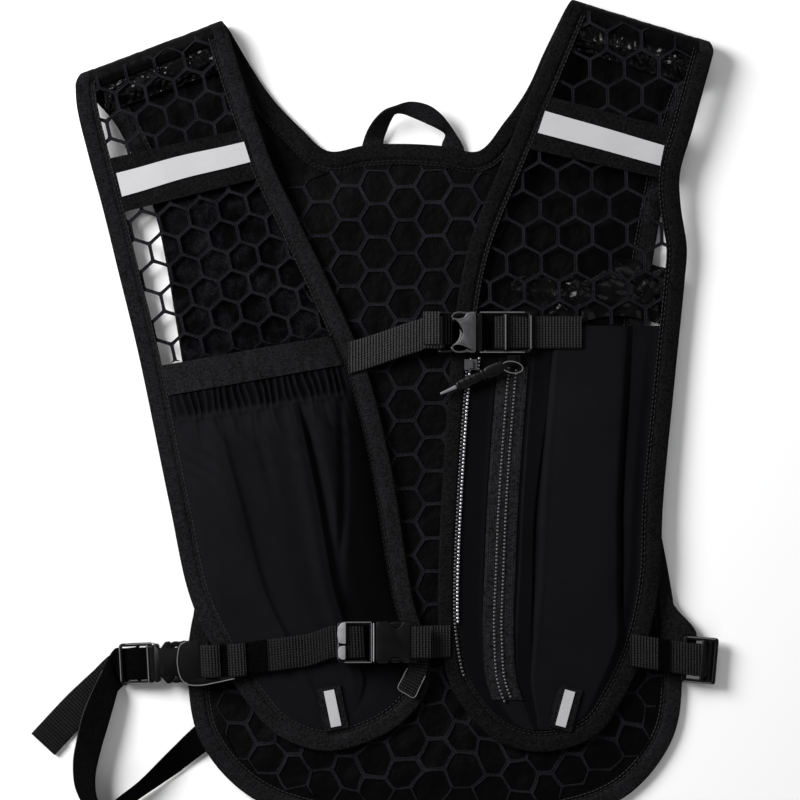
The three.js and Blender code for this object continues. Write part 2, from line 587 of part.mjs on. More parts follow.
// Yokes: cloth from the back panel's seam up over the shoulder fold to the front net's seam.
function yoke(fromEnd) {
  const rows = [armPath, neckPath].map((path) => {
    const ordered = fromEnd ? [...path].reverse() : path;
    const kept = ordered.slice(0, YOKE_STEPS + 1);
    const [before, end] = kept.slice(-2);
    const short = (2 * GAP) / end.point.distanceTo(before.point);
    return [...kept.slice(0, -1), { point: end.point.clone().lerp(before.point, short), normal: end.normal }];
  });
  const columns = 4;
  const ways = rows.map((row) => tangents(row.map((p) => p.point)));
  return sheet(
    rows[0].map((arm, j) => {
      const neck = rows[1][j];
      const width = arm.point.distanceTo(neck.point);
      const ruling = neck.point.clone().sub(arm.point).normalize();
      const slant = (way) => way[j].clone().cross(ruling).length();
      const [armBite, neckBite] = ways.map((way) => BINDING_BITE / slant(way) / width);
      return Array.from({ length: columns + 1 }, (_, i) => {
        const share = lerp(armBite, 1 - neckBite, i / columns);
        const point = arm.point.clone().lerp(neck.point, share);
        const normal = arm.normal.clone().lerp(neck.normal, share).normalize().multiplyScalar(YOKE_CLOTH / 2);
        return { above: point.clone().add(normal), below: point.sub(normal) };
      });
    }),
  );
}
add("left_yoke", yoke(false), BLACK_NET);
add("right_yoke", yoke(true), BLACK_NET);

add("back_edge_binding", binding(armPath, -1, YOKE_CLOTH), BLACK_TAPE);
add("neck_binding", binding(neckPath, 1, YOKE_CLOTH), BLACK_TAPE);

// Lower front: plain cloth behind the pocket, from the net's lower edge to the rounded end.
function frontBase(side) {
  const end = NET_ENDS[side];
  const rows = 8;
  return sheet(
    Array.from({ length: rows + 1 }, (_, j) => {
      const along = j / rows;
      return BASE_COLUMNS.map((across) => {
        let x = end.x;
        let y = end.y;
        for (let i = 0; i < 6; i++) {
          y = lerp(end.y - GAP / 2, BASE_END, along) + end.slope * (1 - along) * (x - end.x);
          const [x0, x1] = pocketSides(side, y, BINDING_BITE + 2 * GAP);
          x = lerp(x0, x1, across);
        }
        const z = frontHeight(side, x, y);
        return { above: at(x, y, z + CLOTH / 2), below: at(x, y, z - CLOTH / 2) };
      });
    }),
  );
}

for (const side of ["left", "right"]) {
  const path = frontPaths[side];
  const { first, last } = frontWays[side];
  const height = (x, y) => frontHeight(side, x, y);
  const end = NET_ENDS[side];

  // Edge binding, which starts and stops at the shoulder seam.
  const start = path[0].clone().addScaledVector(first, FOLD_SEAM + 2 * GAP);
  const stop = path[path.length - 1].clone().addScaledVector(last, FOLD_SEAM + 2 * GAP);
  const clear = (p) => Math.min(p.distanceTo(path[0]), p.distanceTo(path[path.length - 1])) > 1.2 * FOLD_SEAM;
  const outline = [start, ...path.filter(clear), stop];
  const edge = outline.map(({ x, y }) => {
    return { point: at(x, y, height(x, y)), normal: slopeNormal(height, x, y) };
  });
  add(`${side}_front_binding`, binding(edge, 1, CLOTH, BINDING_EASE), BLACK_TAPE);

  // Upper front of open net and lower front of plain cloth, cut from one outline.
  const panel = solid(plate(inset(outline, BINDING_BITE), CLOTH));
  const window = solid(plate(inset(outline, BINDING_WIDTH), CLOTH));
  const beyond = 500;
  const upper = (offset) => {
    const line = [-1, -0.75, -0.5, -0.25, 0, 0.25, 0.5, 0.75, 1].map((share) => {
      const aside = share * NET_REACH;
      return at(end.x + aside, end.y + offset + end.slope * aside + NET_BOW * (1 - share * share));
    });
    const block = [...line, at(end.x + NET_REACH, beyond), at(end.x - NET_REACH, beyond)];
    return solid(plate(block, 4 * CLOTH).translate(0, 0, -CLOTH));
  };
  const seamTurn = Math.atan2(stop.y - start.y, stop.x - start.x);
  const lowerHalf = box(-beyond, beyond, -beyond, -NET_MARGIN, -1, 2 * CLOTH);
  const belowSeam = solid(lowerHalf.rotateZ(seamTurn).translate(start.x, start.y, 0));
  const cells = window.intersect(upper(NET_MARGIN)).intersect(belowSeam);
  const { pitch, row, x, y } = NETS[side];
  const turn = THREE.MathUtils.degToRad(NETS[side].turn);
  const cellArea = ((pitch - NET_BAR) ** 2 * Math.sqrt(3)) / 2;
  let net = panel.intersect(upper(GAP / 2));
  for (let j = -12; j <= 12; j++)
    for (let i = -9; i <= 9; i++) {
      const centre = at((i + (j % 2 ? 0.5 : 0)) * pitch, j * row).applyAxisAngle(UP, turn);
      const cell = new THREE.CylinderGeometry(1, 1, 3 * CLOTH, 6)
        .rotateX(Math.PI / 2)
        .scale((pitch - NET_BAR) / Math.sqrt(3), (row - NET_BAR * 0.866) / 1.5, 1)
        .rotateZ(turn)
        .translate(x + centre.x, y + centre.y, 0);
      const hole = solid(cell).intersect(cells);
      if (hole.volume() > LEAST_CELL * cellArea * CLOTH) net = net.subtract(hole);
    }
  const centred = (x, y) => height(x, y) - CLOTH / 2;
  add(`${side}_net`, drape(shapeOf(net), centred), BLACK_NET);
  add(`${side}_front_base`, frontBase(side), BLACK_CLOTH);
}

// Left pocket: a gathered pouch, open at its mouth, with an elastic band along it.
function pocket(side, columns, rows) {
  return sheet(
    rows.map(({ along }) =>
      columns.map((across) => {
        const above = pocketPlace(side, across, along);
        return { above, below: above.clone().setZ(above.z - POCKET_CLOTH) };
      }),
    ),
  );
}
const leftColumns = Array.from({ length: LEFT_COLUMNS + 1 }, (_, i) => i / LEFT_COLUMNS);
add("left_pocket", pocket("left", leftColumns, LEFT_SWELL), BLACK_CLOTH);
add("right_pocket", pocket("right", RIGHT_PLEATS.map((row) => row.across), RIGHT_SWELL), BLACK_CLOTH);

function pocketBand() {
  const end = NET_ENDS.left;
  const count = 10;
  const top = end.y - GAP / 2;
  return sheet(
    [0, 1].map((j) =>
      Array.from({ length: count + 1 }, (_, i) => {
        const across = i / count;
        const edge = pocketPlace("left", across, 0);
        const y = edge.y + (j ? MOUTH_DROP.left - GAP : GAP);
        const [x0, x1] = pocketSides("left", top + end.slope * (edge.x - end.x));
        const x = j ? lerp(x0, x1, across) : edge.x;
        const swell = LEFT_SWELL[0].rise * LEFT_BULGE * Math.sin(Math.PI * across) ** ROUNDING;
        const z = frontHeight("left", x, y) + ON_FRONT + swell;
        return { above: at(x, y, z + WEBBING_THICK), below: at(x, y, z) };
      }),
    ),
  );
}
add("left_pocket_band", pocketBand(), BLACK_WEBBING);

// Tapes across the shoulders and tabs on the pockets' ends, each with a reflective strip.
for (const side of ["left", "right"]) {
  const onNet = (x, y) => frontHeight(side, x, y) + ON_FRONT;
  const onTape = (x, y) => onNet(x, y) + TRIM + GAP;
  add(`${side}_shoulder_tape`, patch(SHOULDER_TRIM[side].tape, onNet, TRIM), BLACK_TAPE);
  add(`${side}_shoulder_reflector`, patch(SHOULDER_TRIM[side].reflector, onTape, FOIL), REFLECTIVE);

  const { x, y, turn } = END_TABS[side];
  const corners = (width, length) =>
    [[-1, 1], [1, 1], [-1, -1], [1, -1]].map(([i, j]) =>
      at((i * width) / 2, (j * length) / 2).applyAxisAngle(UP, THREE.MathUtils.degToRad(turn)).add(at(x, y)),
    );
  const onPocket = (px, py) => pocketTop(side, px, py) + 2 * GAP;
  const onTab = (px, py) => onPocket(px, py) + TRIM + GAP;
  add(`${side}_tab`, patch(corners(TAB.width, TAB.length), onPocket, TRIM, 2, 4), BLACK_TAPE);
  add(`${side}_tab_reflector`, patch(corners(TAB.reflector, TAB.shown), onTab, FOIL, 1, 4), REFLECTIVE);

  const wing = plate(WINGS[side], CLOTH).translate(0, 0, 2 * BACK_MID + GAP);
  add(`${side}_wing`, wing, BLACK_CLOTH);
}

add("grab_loop", edgedBand(GRAB_LOOP), BLACK_WEBBING);

// Zips of the right pocket: each a line of teeth with a slider, the outer one on a tape.
function zipLine({ across, from, to }, width, thick, rise) {
  const rows = [0, 0.2, 0.4, 0.6, 0.8, 1].map((share) => {
    const point = pocketPlace("right", across, lerp(from, to, share));
    return point.setZ(point.z + rise + thick / 2);
  });
  return ribbon(rows, { width, thick });
}
function slider(zip, rise) {
  const place = pocketPlace("right", zip.across, zip.from);
  const { width, length, height, bridge, top } = ZIP_SLIDER;
  const body = fuse(
    box(-width / 2, width / 2, 0, length, 0, height),
    box(-bridge / 2, bridge / 2, 0.15 * length, 0.85 * length, height / 2, top),
  );
  return shapeOf(body).translate(place.x, place.y + GAP, place.z + rise);
}
add("inner_zip_teeth", zipLine(INNER_ZIP, INNER_ZIP.width, TEETH, 2 * GAP), BLACK_METAL);
add("inner_zip_slider", slider(INNER_ZIP, 2 * GAP), BLACK_METAL);
add("outer_zip_tape", zipLine(OUTER_ZIP, OUTER_ZIP.tape, TRIM, 2 * GAP), BLACK_TAPE);
add("outer_zip_teeth", zipLine(OUTER_ZIP, OUTER_ZIP.width, TEETH, 3 * GAP + TRIM), BLACK_METAL);
add("outer_zip_slider", slider(OUTER_ZIP, 3 * GAP + TRIM), BLACK_METAL);

// A side-release buckle in its own frame: X runs from the socket's bar to the end of the plug's ladder.
function buckle(name) {
  const { socket, ladder, x, y, z, turn, tip } = BUCKLES[name];
  const frame = new THREE.Group();
  frame.position.set(x, y, z);
  frame.rotation.set(0, THREE.MathUtils.degToRad(tip), THREE.MathUtils.degToRad(turn), "ZYX");
  vest.add(frame);

  const half = SOCKET.width / 2;
  const notch = { from: 0.34 * socket, to: 0.7 * socket, in: half - SOCKET.notch };
  const outline = [
    [0, half], [notch.from - 1, half], [notch.from, notch.in],
    [notch.to, notch.in], [notch.to + 1, half], [socket, half],
  ];
  const mirrored = outline.map(([px, py]) => [px, -py]).reverse();
  const shell = plate([...outline, ...mirrored].map(([px, py]) => at(px, py)), SOCKET.thick);
  const web = WEBBING / 2 + GAP;
  const slotEnd = SOCKET.bar + SOCKET.slot;
  const inside = half - SOCKET.side;
  const past = SOCKET.thick + 1;
  const cuts = [
    box(slotEnd + SOCKET.wall, socket + 1, -inside, inside, SOCKET.wall, SOCKET.thick - SOCKET.wall),
    box(SOCKET.bar, slotEnd, -web, web, -1, past),
    box(-1, slotEnd, -web, web, SOCKET.barHigh, past),
    box(-1, slotEnd, -web, web, -1, SOCKET.barLow),
  ];
  const hollow = cuts.reduce((body, cut) => body.subtract(solid(cut)), solid(shell));
  add(`${name}_buckle_socket`, shapeOf(hollow), BLACK_PLASTIC, frame);

  const base = socket + GAP;
  const rails = base + PLUG.base;
  const ladderPlaces = { end: rails + ladder, middle: rails + MIDDLE_BAR * ladder };
  const prongOutline = [
    [base + 1, 4.6], [base + 1, 8.4], [notch.to + 1.6, 8.5], [notch.to - 0.4, 9.1], [notch.to - 1.6, 11],
    [notch.from + 1.2, 9], [notch.from + 0.8, 6.6], [notch.to, 5.9],
  ];
  const mirroredPieces = [1, -1].flatMap((hand) => [
    plate(prongOutline.map(([px, py]) => at(px, hand * py)), PLUG.prongThick).translate(0, 0, PLUG.prongLow),
    box(0, ladder + 1, -PLUG.rail / 2, PLUG.rail / 2, PLUG.margin, PLUG.railHigh)
      .translate(rails - 1, hand * (half - PLUG.rail / 2), 0),
  ]);
  const bars = LADDER_BARS.map(({ from, x0, x1, z0, z1 }) =>
    box(ladderPlaces[from] + x0, ladderPlaces[from] + x1, 1 - half, half - 1, z0, z1),
  );
  const plug = fuse(
    box(base, rails, 1 - half, half - 1, PLUG.margin, SOCKET.thick - PLUG.margin),
    box(notch.to - 2, base + 1, -PLUG.tongue / 2, PLUG.tongue / 2, PLUG.prongLow, PLUG.railHigh),
    ...mirroredPieces,
    ...bars,
  );
  add(`${name}_buckle_plug`, shapeOf(plug), BLACK_PLASTIC, frame);
  return { frame, ...ladderPlaces };
}
const chest = buckle("chest");
const waist = buckle("waist");
const side = buckle("side");

// Points of a strap on a buckle, in the vest's frame.
const onBuckle = ({ frame }, x, y, z) => {
  frame.updateMatrix();
  return at(x, y, z).applyMatrix4(frame.matrix);
};
const barWrap = (held) => BAR_WRAP.map(({ x, z }) => onBuckle(held, x, 0, z));
const ladderWeb = (held, y = 0) => LADDER_WEB.map(({ from, x, z }) => onBuckle(held, held[from] + x, y, z));
const listed = (rows) => rows.map(({ x, y, z }) => at(x, y, z));
const strap = (name, path, turn = 0) => {
  const across = at(0, 1).applyAxisAngle(UP, THREE.MathUtils.degToRad(turn));
  return add(name, ribbon(path, { across }), BLACK_WEBBING);
};

strap("chest_strap_left", [...listed(CHEST_LEFT), ...barWrap(chest).reverse()]);
strap("chest_strap_right", [...listed(CHEST_RIGHT), ...ladderWeb(chest)]);
const onLeftPocket = WAIST_LEFT.map(({ x, y }) =>
  at(x, y, pocketTop("left", x, y) + 4 * GAP + WEBBING_THICK / 2),
);
const waistWeb = [...barWrap(side).reverse(), ...onLeftPocket, ...ladderWeb(waist)];
strap("waist_strap_left", waistWeb, BUCKLES.side.turn);
strap("waist_strap_right", [...listed(WAIST_RIGHT), ...barWrap(waist).reverse()]);
add("waist_strap_tail", ribbon(listed(WAIST_TAIL), { width: WAIST_TAIL_WIDTH }), BLACK_WEBBING);

// Left side strap: from the ladder of its buckle in a standing loop to the back, and its free end.
const edges = [-WEBBING / 2, WEBBING / 2].map((y) => ladderWeb(side, y).reverse());
const threaded = edges[0].map((a, i) => {
  const b = edges[1][i];
  return { ax: a.x, ay: a.y, az: a.z, bx: b.x, by: b.y, bz: b.z };
});
add("side_strap_left", edgedBand([...threaded, ...SIDE_LOOP]), BLACK_WEBBING);
add("side_strap_left_tail", ribbon(listed(SIDE_TAIL)), BLACK_WEBBING);

// Right side strap, from the front's edge round a slider to the wing on the back.
const slide = new THREE.Group();
slide.position.set(SLIDER.x, SLIDER.y, SLIDER.z);
slide.rotation.z = THREE.MathUtils.degToRad(SLIDER.turn);
vest.add(slide);
const [slideLength, slideWidth] = [SLIDER.length / 2, SLIDER.width / 2];
const [slotLength, slotWidth] = [slideLength - SLIDER.bar, slideWidth - SLIDER.rim];
const slideThick = SLIDER.thick / 2;
const slideFrame = box(-slideLength, slideLength, -slideWidth, slideWidth, -slideThick, slideThick);
const slideSlot = box(-slotLength, slotLength, -slotWidth, slotWidth, -SLIDER.thick, SLIDER.thick);
add("side_slider_right", shapeOf(solid(slideFrame).subtract(solid(slideSlot))), BLACK_PLASTIC, slide);
const roundSlider = SLIDER_WRAP.map(({ x, z }) => onBuckle({ frame: slide }, x, 0, z));
strap("side_strap_right", [...listed(SIDE_RIGHT), ...roundSlider]);

// Zip pull, from the outer zip's slider over the inner binding.
function zipPull() {
  const middles = listed(ZIP_PULL);
  const along = tangents(middles);
  const rings = ZIP_PULL.map(({ width, thick }, i) => {
    const across = UP.clone().cross(along[i]).normalize();
    const normal = along[i].clone().cross(across);
    return [0, 1, 2, 3, 4, 5].map((corner) => {
      const angle = (corner * Math.PI) / 3;
      const [aside, up] = [(Math.cos(angle) * width) / 2, (Math.sin(angle) * thick) / 2];
      return middles[i].clone().addScaledVector(across, aside).addScaledVector(normal, up);
    });
  });
  return loft(rings, [[0, 1, 2], [0, 2, 3], [0, 3, 4], [0, 4, 5]]);
}
add("zip_pull", zipPull(), BLACK_PLASTIC);

export default vest;
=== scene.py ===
"""A black running vest of honeycomb net, lying on its padded back with both fronts folded over at the shoulders.

Places are worked out in millimetres, X to the right and Y towards the shoulders as the vest lies, Z up.
"""
import math

import bmesh
import bpy
import numpy as np
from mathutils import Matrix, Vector


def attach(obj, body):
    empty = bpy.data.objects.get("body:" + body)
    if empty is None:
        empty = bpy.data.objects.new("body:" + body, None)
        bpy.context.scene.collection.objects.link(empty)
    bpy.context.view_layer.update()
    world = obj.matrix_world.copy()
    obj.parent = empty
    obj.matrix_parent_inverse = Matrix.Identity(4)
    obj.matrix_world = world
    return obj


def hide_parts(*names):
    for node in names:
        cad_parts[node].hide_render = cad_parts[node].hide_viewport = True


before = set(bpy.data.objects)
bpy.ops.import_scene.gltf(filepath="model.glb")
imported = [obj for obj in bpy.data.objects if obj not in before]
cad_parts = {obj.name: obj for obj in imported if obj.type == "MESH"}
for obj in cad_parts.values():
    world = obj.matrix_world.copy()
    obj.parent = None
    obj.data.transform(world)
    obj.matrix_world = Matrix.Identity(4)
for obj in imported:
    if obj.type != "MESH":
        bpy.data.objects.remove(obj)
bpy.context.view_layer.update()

bl_info = {
    "name": "Running vest",
    "version": (1, 0, 0),
    "blender": (4, 5, 0),
    "location": "View3D > Sidebar > Vest",
    "description": "Builds a running vest of honeycomb net, cloth and webbing over its packed frame",
    "category": "Add Mesh",
}

MM = 0.001

# Outer edges of the two fronts, from the shoulder corner that lies further left, round the pocket's end.
FRONT_EDGES = {
    "left": [
        (-225, 207.5), (-224, 190), (-217, 160), (-209, 130), (-197.5, 83), (-186, 36), (-166.5, -58),
        (-153.5, -116), (-135, -155), (-119, -179.5), (-100, -200.5), (-71, -211), (-41, -204.5), (-18, -190),
        (-5, -170), (-7, -143), (-15, -115.5), (-28, -35.5), (-43, 24.5), (-57.5, 59.5), (-87, 122),
        (-101, 151), (-116, 192.5), (-132, 242.5),
    ],
    "right": [
        (82, 255.5), (40, 155), (21, 107.5), (12, 64), (0.5, -109.5), (2, -142.5), (10, -174), (37, -204.5),
        (68, -211.5), (100, -200.5), (117, -176), (130, -146), (138.5, -105), (140.5, -58), (148, 20),
        (154, 80), (155.5, 102), (151.5, 129), (151, 148), (159, 176.5), (173, 227.5),
    ],
}
BACK_EDGE = [
    (-176, 124), (-160, 37), (-149, -45), (-151, -115), (-155.5, -165), (-148, -205), (-120, -238),
    (-78, -255), (0, -258.5), (78, -255), (120, -238.5), (147, -204), (153, -165), (147, -115), (134, -40),
    (128.5, 40), (143, 140),
]
NECK_EDGE = [(-68, 163), (-45, 166.5), (-20, 167.5), (5, 166), (26, 163)]
# Each yoke from its seam on the back to its shoulder fold: armhole edge and neck edge.
YOKES = {
    "left": {
        "arm": [(-176, 124), (-189, 157), (-201, 180), (-214, 195), (-225, 207.5)],
        "neck": [(-68, 163), (-85, 177), (-103, 196), (-117, 217), (-132, 242.5)],
    },
    "right": {
        "arm": [(143, 140), (150, 166), (157, 190), (166, 212), (173, 227.5)],
        "neck": [(26, 163), (42, 181), (56, 201), (67, 225), (82, 255.5)],
    },
}
# Honeycombs: pitch across, pitch of the rows, turn in degrees, and the middle of one cell.
NETS = {
    "left": (18.5, 16.0, 12.5, (-181.5, 115)),
    "right": (21.5, 17.2, 1.0, (75, 127)),
    "back": (20.9, 17.6, 90.0, (-19.6, 109.4)),
}
# Where each net ends and the pocket or its elastic starts: a point and the slope there.
NET_ENDS = {"left": (-110, 40, 0.175), "right": (80, 54, 0.0)}
# Corners of the trim on the shoulders: upper left, upper right, lower left and lower right.
SHOULDER_TRIM = {
    "left": (
        [(-203.5, 157.7), (-120.5, 176), (-197, 124), (-111.5, 145.2)],
        [(-199.5, 148.5), (-120, 167.9), (-196, 134), (-116, 155.4)],
    ),
    "right": (
        [(66, 197), (145, 176.5), (55.5, 164), (141.5, 144.6)],
        [(67, 187), (141, 165.5), (62.5, 173.5), (138.5, 153)],
    ),
}
END_TABS = {"left": (-65, -184, 11.5), "right": (79.5, -184, -15)}
WINGS = {
    "left": [(-141, -108), (-148.5, -117), (-154, -137), (-154, -152), (-143, -158)],
    "right": [(138, -104), (149, -122), (162, -138.5), (157, -152), (140, -158)],
}
# Both edges of the grab loop, and of the left side strap's standing loop.
GRAB_LOOP = [
    (-47.5, 162, 2.2, -33, 162.4, 2.2), (-46.3, 168.2, 2.6, -33.3, 169.2, 2.4), (-43.3, 175.5, 8, -31.3, 175.5, 4),
    (-38.6, 182.2, 12, -28.6, 182.2, 5), (-32.6, 187.5, 14.5, -25.8, 186, 7), (-25.9, 190, 15.4, -21.6, 186, 8.5),
    (-17, 192.8, 15, -14.5, 183, 10), (-5.3, 190.8, 13, -5, 178.7, 10), (3, 185, 10.5, 1.5, 175.6, 8),
    (9.7, 176.6, 6.5, 5, 172.8, 4.5), (16.5, 165.6, 2.4, 3, 167, 2.4), (17.5, 159.6, 2.2, 3, 161, 2.2),
]
SIDE_LOOP = [
    (-208.5, -161, 5, -198.5, -171, 7.5), (-220.5, -187.5, 3.6, -204, -192.5, 11),
    (-224.5, -204, 2.4, -209, -209.5, 12), (-227, -219.5, 1.2, -212.5, -225.5, 13),
    (-225, -236.5, 1.2, -212, -237.5, 15.5), (-215.5, -250.5, 1.2, -209, -243, 17.5),
    (-200, -252, 1.2, -203, -243, 18), (-187, -242, 1.2, -196, -238, 17), (-173, -232.5, 1.2, -184.5, -229, 14),
    (-159, -223, 1.2, -168, -212.4, 9), (-147.5, -214.4, 2.2, -154.4, -199, 2.8), (-137, -207, 2.2, -144, -190, 2.2),
]
SIDE_TAIL = [
    (-186, -156.5, 1.2), (-197, -159, 1.2), (-208, -169, 1.2), (-224, -184, 1.2), (-240, -201, 1.2),
    (-246, -207.5, 1.2),
]
# Side-release buckles: length of the socket and of the plug's ladder, place, turn about Z and tip.
BUCKLES = {
    "chest": (24, 29, (0, 49.5, 15), 0, 0),
    "waist": (26, 18, (-12.5, -142.5, 15.9), 180, -3),
    "side": (21, 20, (-151, -155, 7.8), 183, 8),
}
SIDE_NOSE = [
    (3.4, -12.6), (7, -10.7), (9.3, -3), (9.3, 4), (7.5, 10.5), (3.4, 14), (-5, 14.8), (-14, 13.6), (-26, 11.6),
]
BAR_WRAP = [(-8, 6.4), (1.1, 6.3), (3.5, 5.5), (3.9, 3.75), (3.5, 2), (1.1, 1.2), (-8, 1.1)]
LADDER_WEB = [
    ("end", 3, 1.7), ("end", -1.2, 1.9), ("middle", 4, 3.6), ("middle", 0, 4.4), ("middle", -4, 3.7),
    ("middle", -6.2, 2.8),
]
CHEST_LEFT = [(-55, 33.5, 14.2), (-40, 38, 14.2), (-20, 45, 15.2), (-9, 48.5, 16)]
CHEST_RIGHT = [(89.5, 49.5, 17.4), (74, 49.5, 17)]
WAIST_LEFT = [(-134, -154.5), (-121, -153.5), (-108, -151.5), (-94, -149.5), (-80, -147.5)]
WAIST_RIGHT = [(8, -142.5, 13.9), (-1, -142.5, 15)]
WAIST_TAIL = [(-11.5, -146, 14.5), (-12.7, -161, 14.9), (-19.4, -174.4, 14.7)]
WAIST_HEM = [
    (-18.4, -158.8), (-21.5, -165), (-24.3, -170.7), (-23.9, -172.2), (-19.5, -174.9), (-15, -177.3),
    (-13.8, -176.8), (-10.5, -170.2), (-7.3, -163.6),
]
SIDE_RIGHT = [(120, -148, 13.8), (131, -149.5, 13.7), (141, -151, 13), (152, -153, 11.2)]
SLIDER = ((168.7, -155, 6.4), -5)
SLIDER_WRAP = [
    (-6.5, 3), (-3.6, 2.7), (-1.7, 2.4), (-0.4, 1), (-0.4, -1), (-1.7, -2.4), (-3.6, -2.7), (-14, -2.7),
]
# How high each pocket stands along its length, and the right one across it.
LEFT_SWELL = [
    (0, 0.75), (0.065, 0.77), (0.16, 0.95), (0.35, 1), (0.55, 0.85), (0.7, 0.5), (0.86, 0.28), (1, 0.02),
]
RIGHT_SWELL = [
    (0, 0.4), (0.08, 0.6), (0.2, 0.85), (0.36, 1), (0.52, 1), (0.68, 0.9), (0.82, 0.6), (0.92, 0.3), (1, 0.05),
]
RIGHT_PLEATS = [
    (0, 0.1), (0.08, 0.16), (0.17, 0.26), (0.235, 0.3), (0.3, 0.32), (0.41, 0.4), (0.45, 0.78), (0.54, 0.94),
    (0.68, 1), (0.8, 0.9), (0.84, 0.55), (0.92, 0.32), (1, 0),
]

UP = np.array((0, 0, 1.0))
GAP = 0.4  # clearance between pieces
CLOTH, YOKE_CLOTH, WEB = 1.2, 2.0, 1.4  # thickness of the fronts, the yokes and the webbing
STRIP = 13.0  # inner edge of the strip that is stitched beside each binding
# The shoulder fold: radius, distance to its seam on the front, steps of its arc, and how it is rounded and raised.
FOLD_RADIUS, FOLD_SEAM, FOLD_STEPS, FOLD_LIFT = 5.5, 10.0, 15, 1.5
CORNER_ROUND = {"arm": 3.4, "neck": 1.2}
# Heights: middle of the back's cloth, of the fronts' at the shoulder and at the pockets, and what lies on a front.
BACK_MID = 2.2
FRONT_HIGH = BACK_MID + 2 * FOLD_RADIUS
FRONT_LOW = 10.6
ON_FRONT = 1.0
DROOP_START, DROOP_SLOPE = 14.0, 0.11  # how a front sinks where it lies past the back's edge
ROD_STEP, ROD_SIDES, ROD_SQUARE = 0.7, 14, 0.6  # spacing of a rod's rings, their corners, and how square they are
HIGHLIGHT_LINE = (0.65, 0.6)  # width and thickness of a light line painted along an edge as a highlight
# Section of a net's bar, from the middle of its top to that of its underside: share towards the hole and height.
NET_SECTION = [(0, 0.5), (0.4, 0.5), (0.68, 1), (1, 0.3), (1, -0.3), (0.6, -0.9), (0, -0.9)]
HOLE_ROUND = 40.0  # the higher, the sharper the corners of a net's holes
GATHERS = 25


def smooth(x, low, high):
    """0 below low, 1 above high, and an S-curve between them."""
    t = np.clip((x - low) / (high - low), 0, 1)
    return t * t * (3 - 2 * t)


def lerp(a, b, t):
    """A straight way from a, where t is 0, to b, where it is 1."""
    return a + (b - a) * t


def bell(x, width):
    """1 where x is 0, falling off with the square of x over width."""
    return np.exp(-((x / width) ** 2))


def shares(columns, rows):
    """Shares across and along a grid, each from 0 to 1."""
    return np.meshgrid(np.linspace(0, 1, columns), np.linspace(0, 1, rows))


def curve(rows, per_span=10):
    """Cubic through the rows whose speed follows the root of each span's length, so that it never loops."""
    p = np.asarray(rows, float)
    p = np.vstack([2 * p[0] - p[1], p, 2 * p[-1] - p[-2]])
    a, b, c, d = p[:-3], p[1:-2], p[2:-1], p[3:]
    s0, s1, s2 = (np.sqrt(np.linalg.norm(v - u, axis=1)).clip(1e-3)[:, None] for u, v in ((a, b), (b, c), (c, d)))
    m1 = s1 * ((b - a) / s0 - (c - a) / (s0 + s1) + (c - b) / s1)
    m2 = s1 * ((c - b) / s1 - (d - b) / (s1 + s2) + (d - c) / s2)
    t = np.linspace(0, 1, per_span, endpoint=False)[:, None, None]
    spans = b + m1 * t + (3 * (c - b) - 2 * m1 - m2) * t**2 + (2 * (b - c) + m1 + m2) * t**3
    return np.vstack([spans.transpose(1, 0, 2).reshape(-1, p.shape[1]), p[-2:-1]])


def lengths(line):
    """Distance gone along a line at each of its points."""
    return np.concatenate([[0], np.cumsum(np.linalg.norm(np.diff(line, axis=0), axis=1))])


def picked(values, gone, at):
    """Rows of values, known after the distances gone, read off at other distances."""
    return np.stack([np.interp(at, gone, values[:, k]) for k in range(values.shape[1])], 1)


def even(line, step):
    """The line's points moved to equal distances of about step."""
    gone = lengths(line)
    return picked(line, gone, np.linspace(0, gone[-1], max(2, round(gone[-1] / step) + 1)))


def eased(rows, t):
    """A table's value at t, read off the smooth curve through its rows."""
    line = curve(rows, 16)
    return np.interp(t, line[:, 0], line[:, 1])


def unit(v):
    """Vectors brought to length 1."""
    return v / np.linalg.norm(v, axis=-1, keepdims=True).clip(1e-9)


def ways(line):
    """Direction of a line at each point."""
    return unit(np.gradient(line, axis=0))


def inset(line, distance):
    """A flat line moved to its left by distance."""
    way = ways(line)
    return line + distance * np.stack([-way[:, 1], way[:, 0]], 1)


def nearest(points, line):
    """The closest place on a closed line to each point: every point against every segment, in blocks."""
    span = np.roll(line, -1, 0) - line
    square = np.einsum("mk,mk->m", span, span).clip(1e-9)
    found = []
    for block in np.array_split(points, max(1, len(points) // 3000)):
        t = np.einsum("nmk,mk->nm", block[:, None] - line, span) / square
        places = line + t.clip(0, 1)[..., None] * span
        best = np.linalg.norm(block[:, None] - places, axis=2).argmin(1)
        found.append(places[np.arange(len(block)), best])
    return np.vstack(found)


def inside(points, line):
    """True where a ray to the right of a point crosses the closed line an odd number of times."""
    a, b = line, np.roll(line, -1, 0)
    y = points[:, 1:2]
    above = (a[:, 1] > y) != (b[:, 1] > y)
    rise = np.where(b[:, 1] == a[:, 1], 1e-9, b[:, 1] - a[:, 1])
    cross = a[:, 0] + (y - a[:, 1]) / rise * (b[:, 0] - a[:, 0])
    return (above & (points[:, :1] < cross)).sum(1) % 2 == 1


def kept_in(points, line):
    """Points outside a closed line, moved onto it."""
    out = ~inside(points, line)
    held = points.copy()
    if out.any():
        held[out] = nearest(points[out], line)
    return held


# Closed surfaces, each as vertices, faces and UV in mm.


def joined(*parts):
    """Several closed surfaces as one."""
    starts = np.cumsum([0] + [len(verts) for verts, _, _ in parts])
    faces = [[corner + start for corner in face] for (_, fs, _), start in zip(parts, starts) for face in fs]
    return np.vstack([p[0] for p in parts]), faces, np.vstack([p[2] for p in parts])


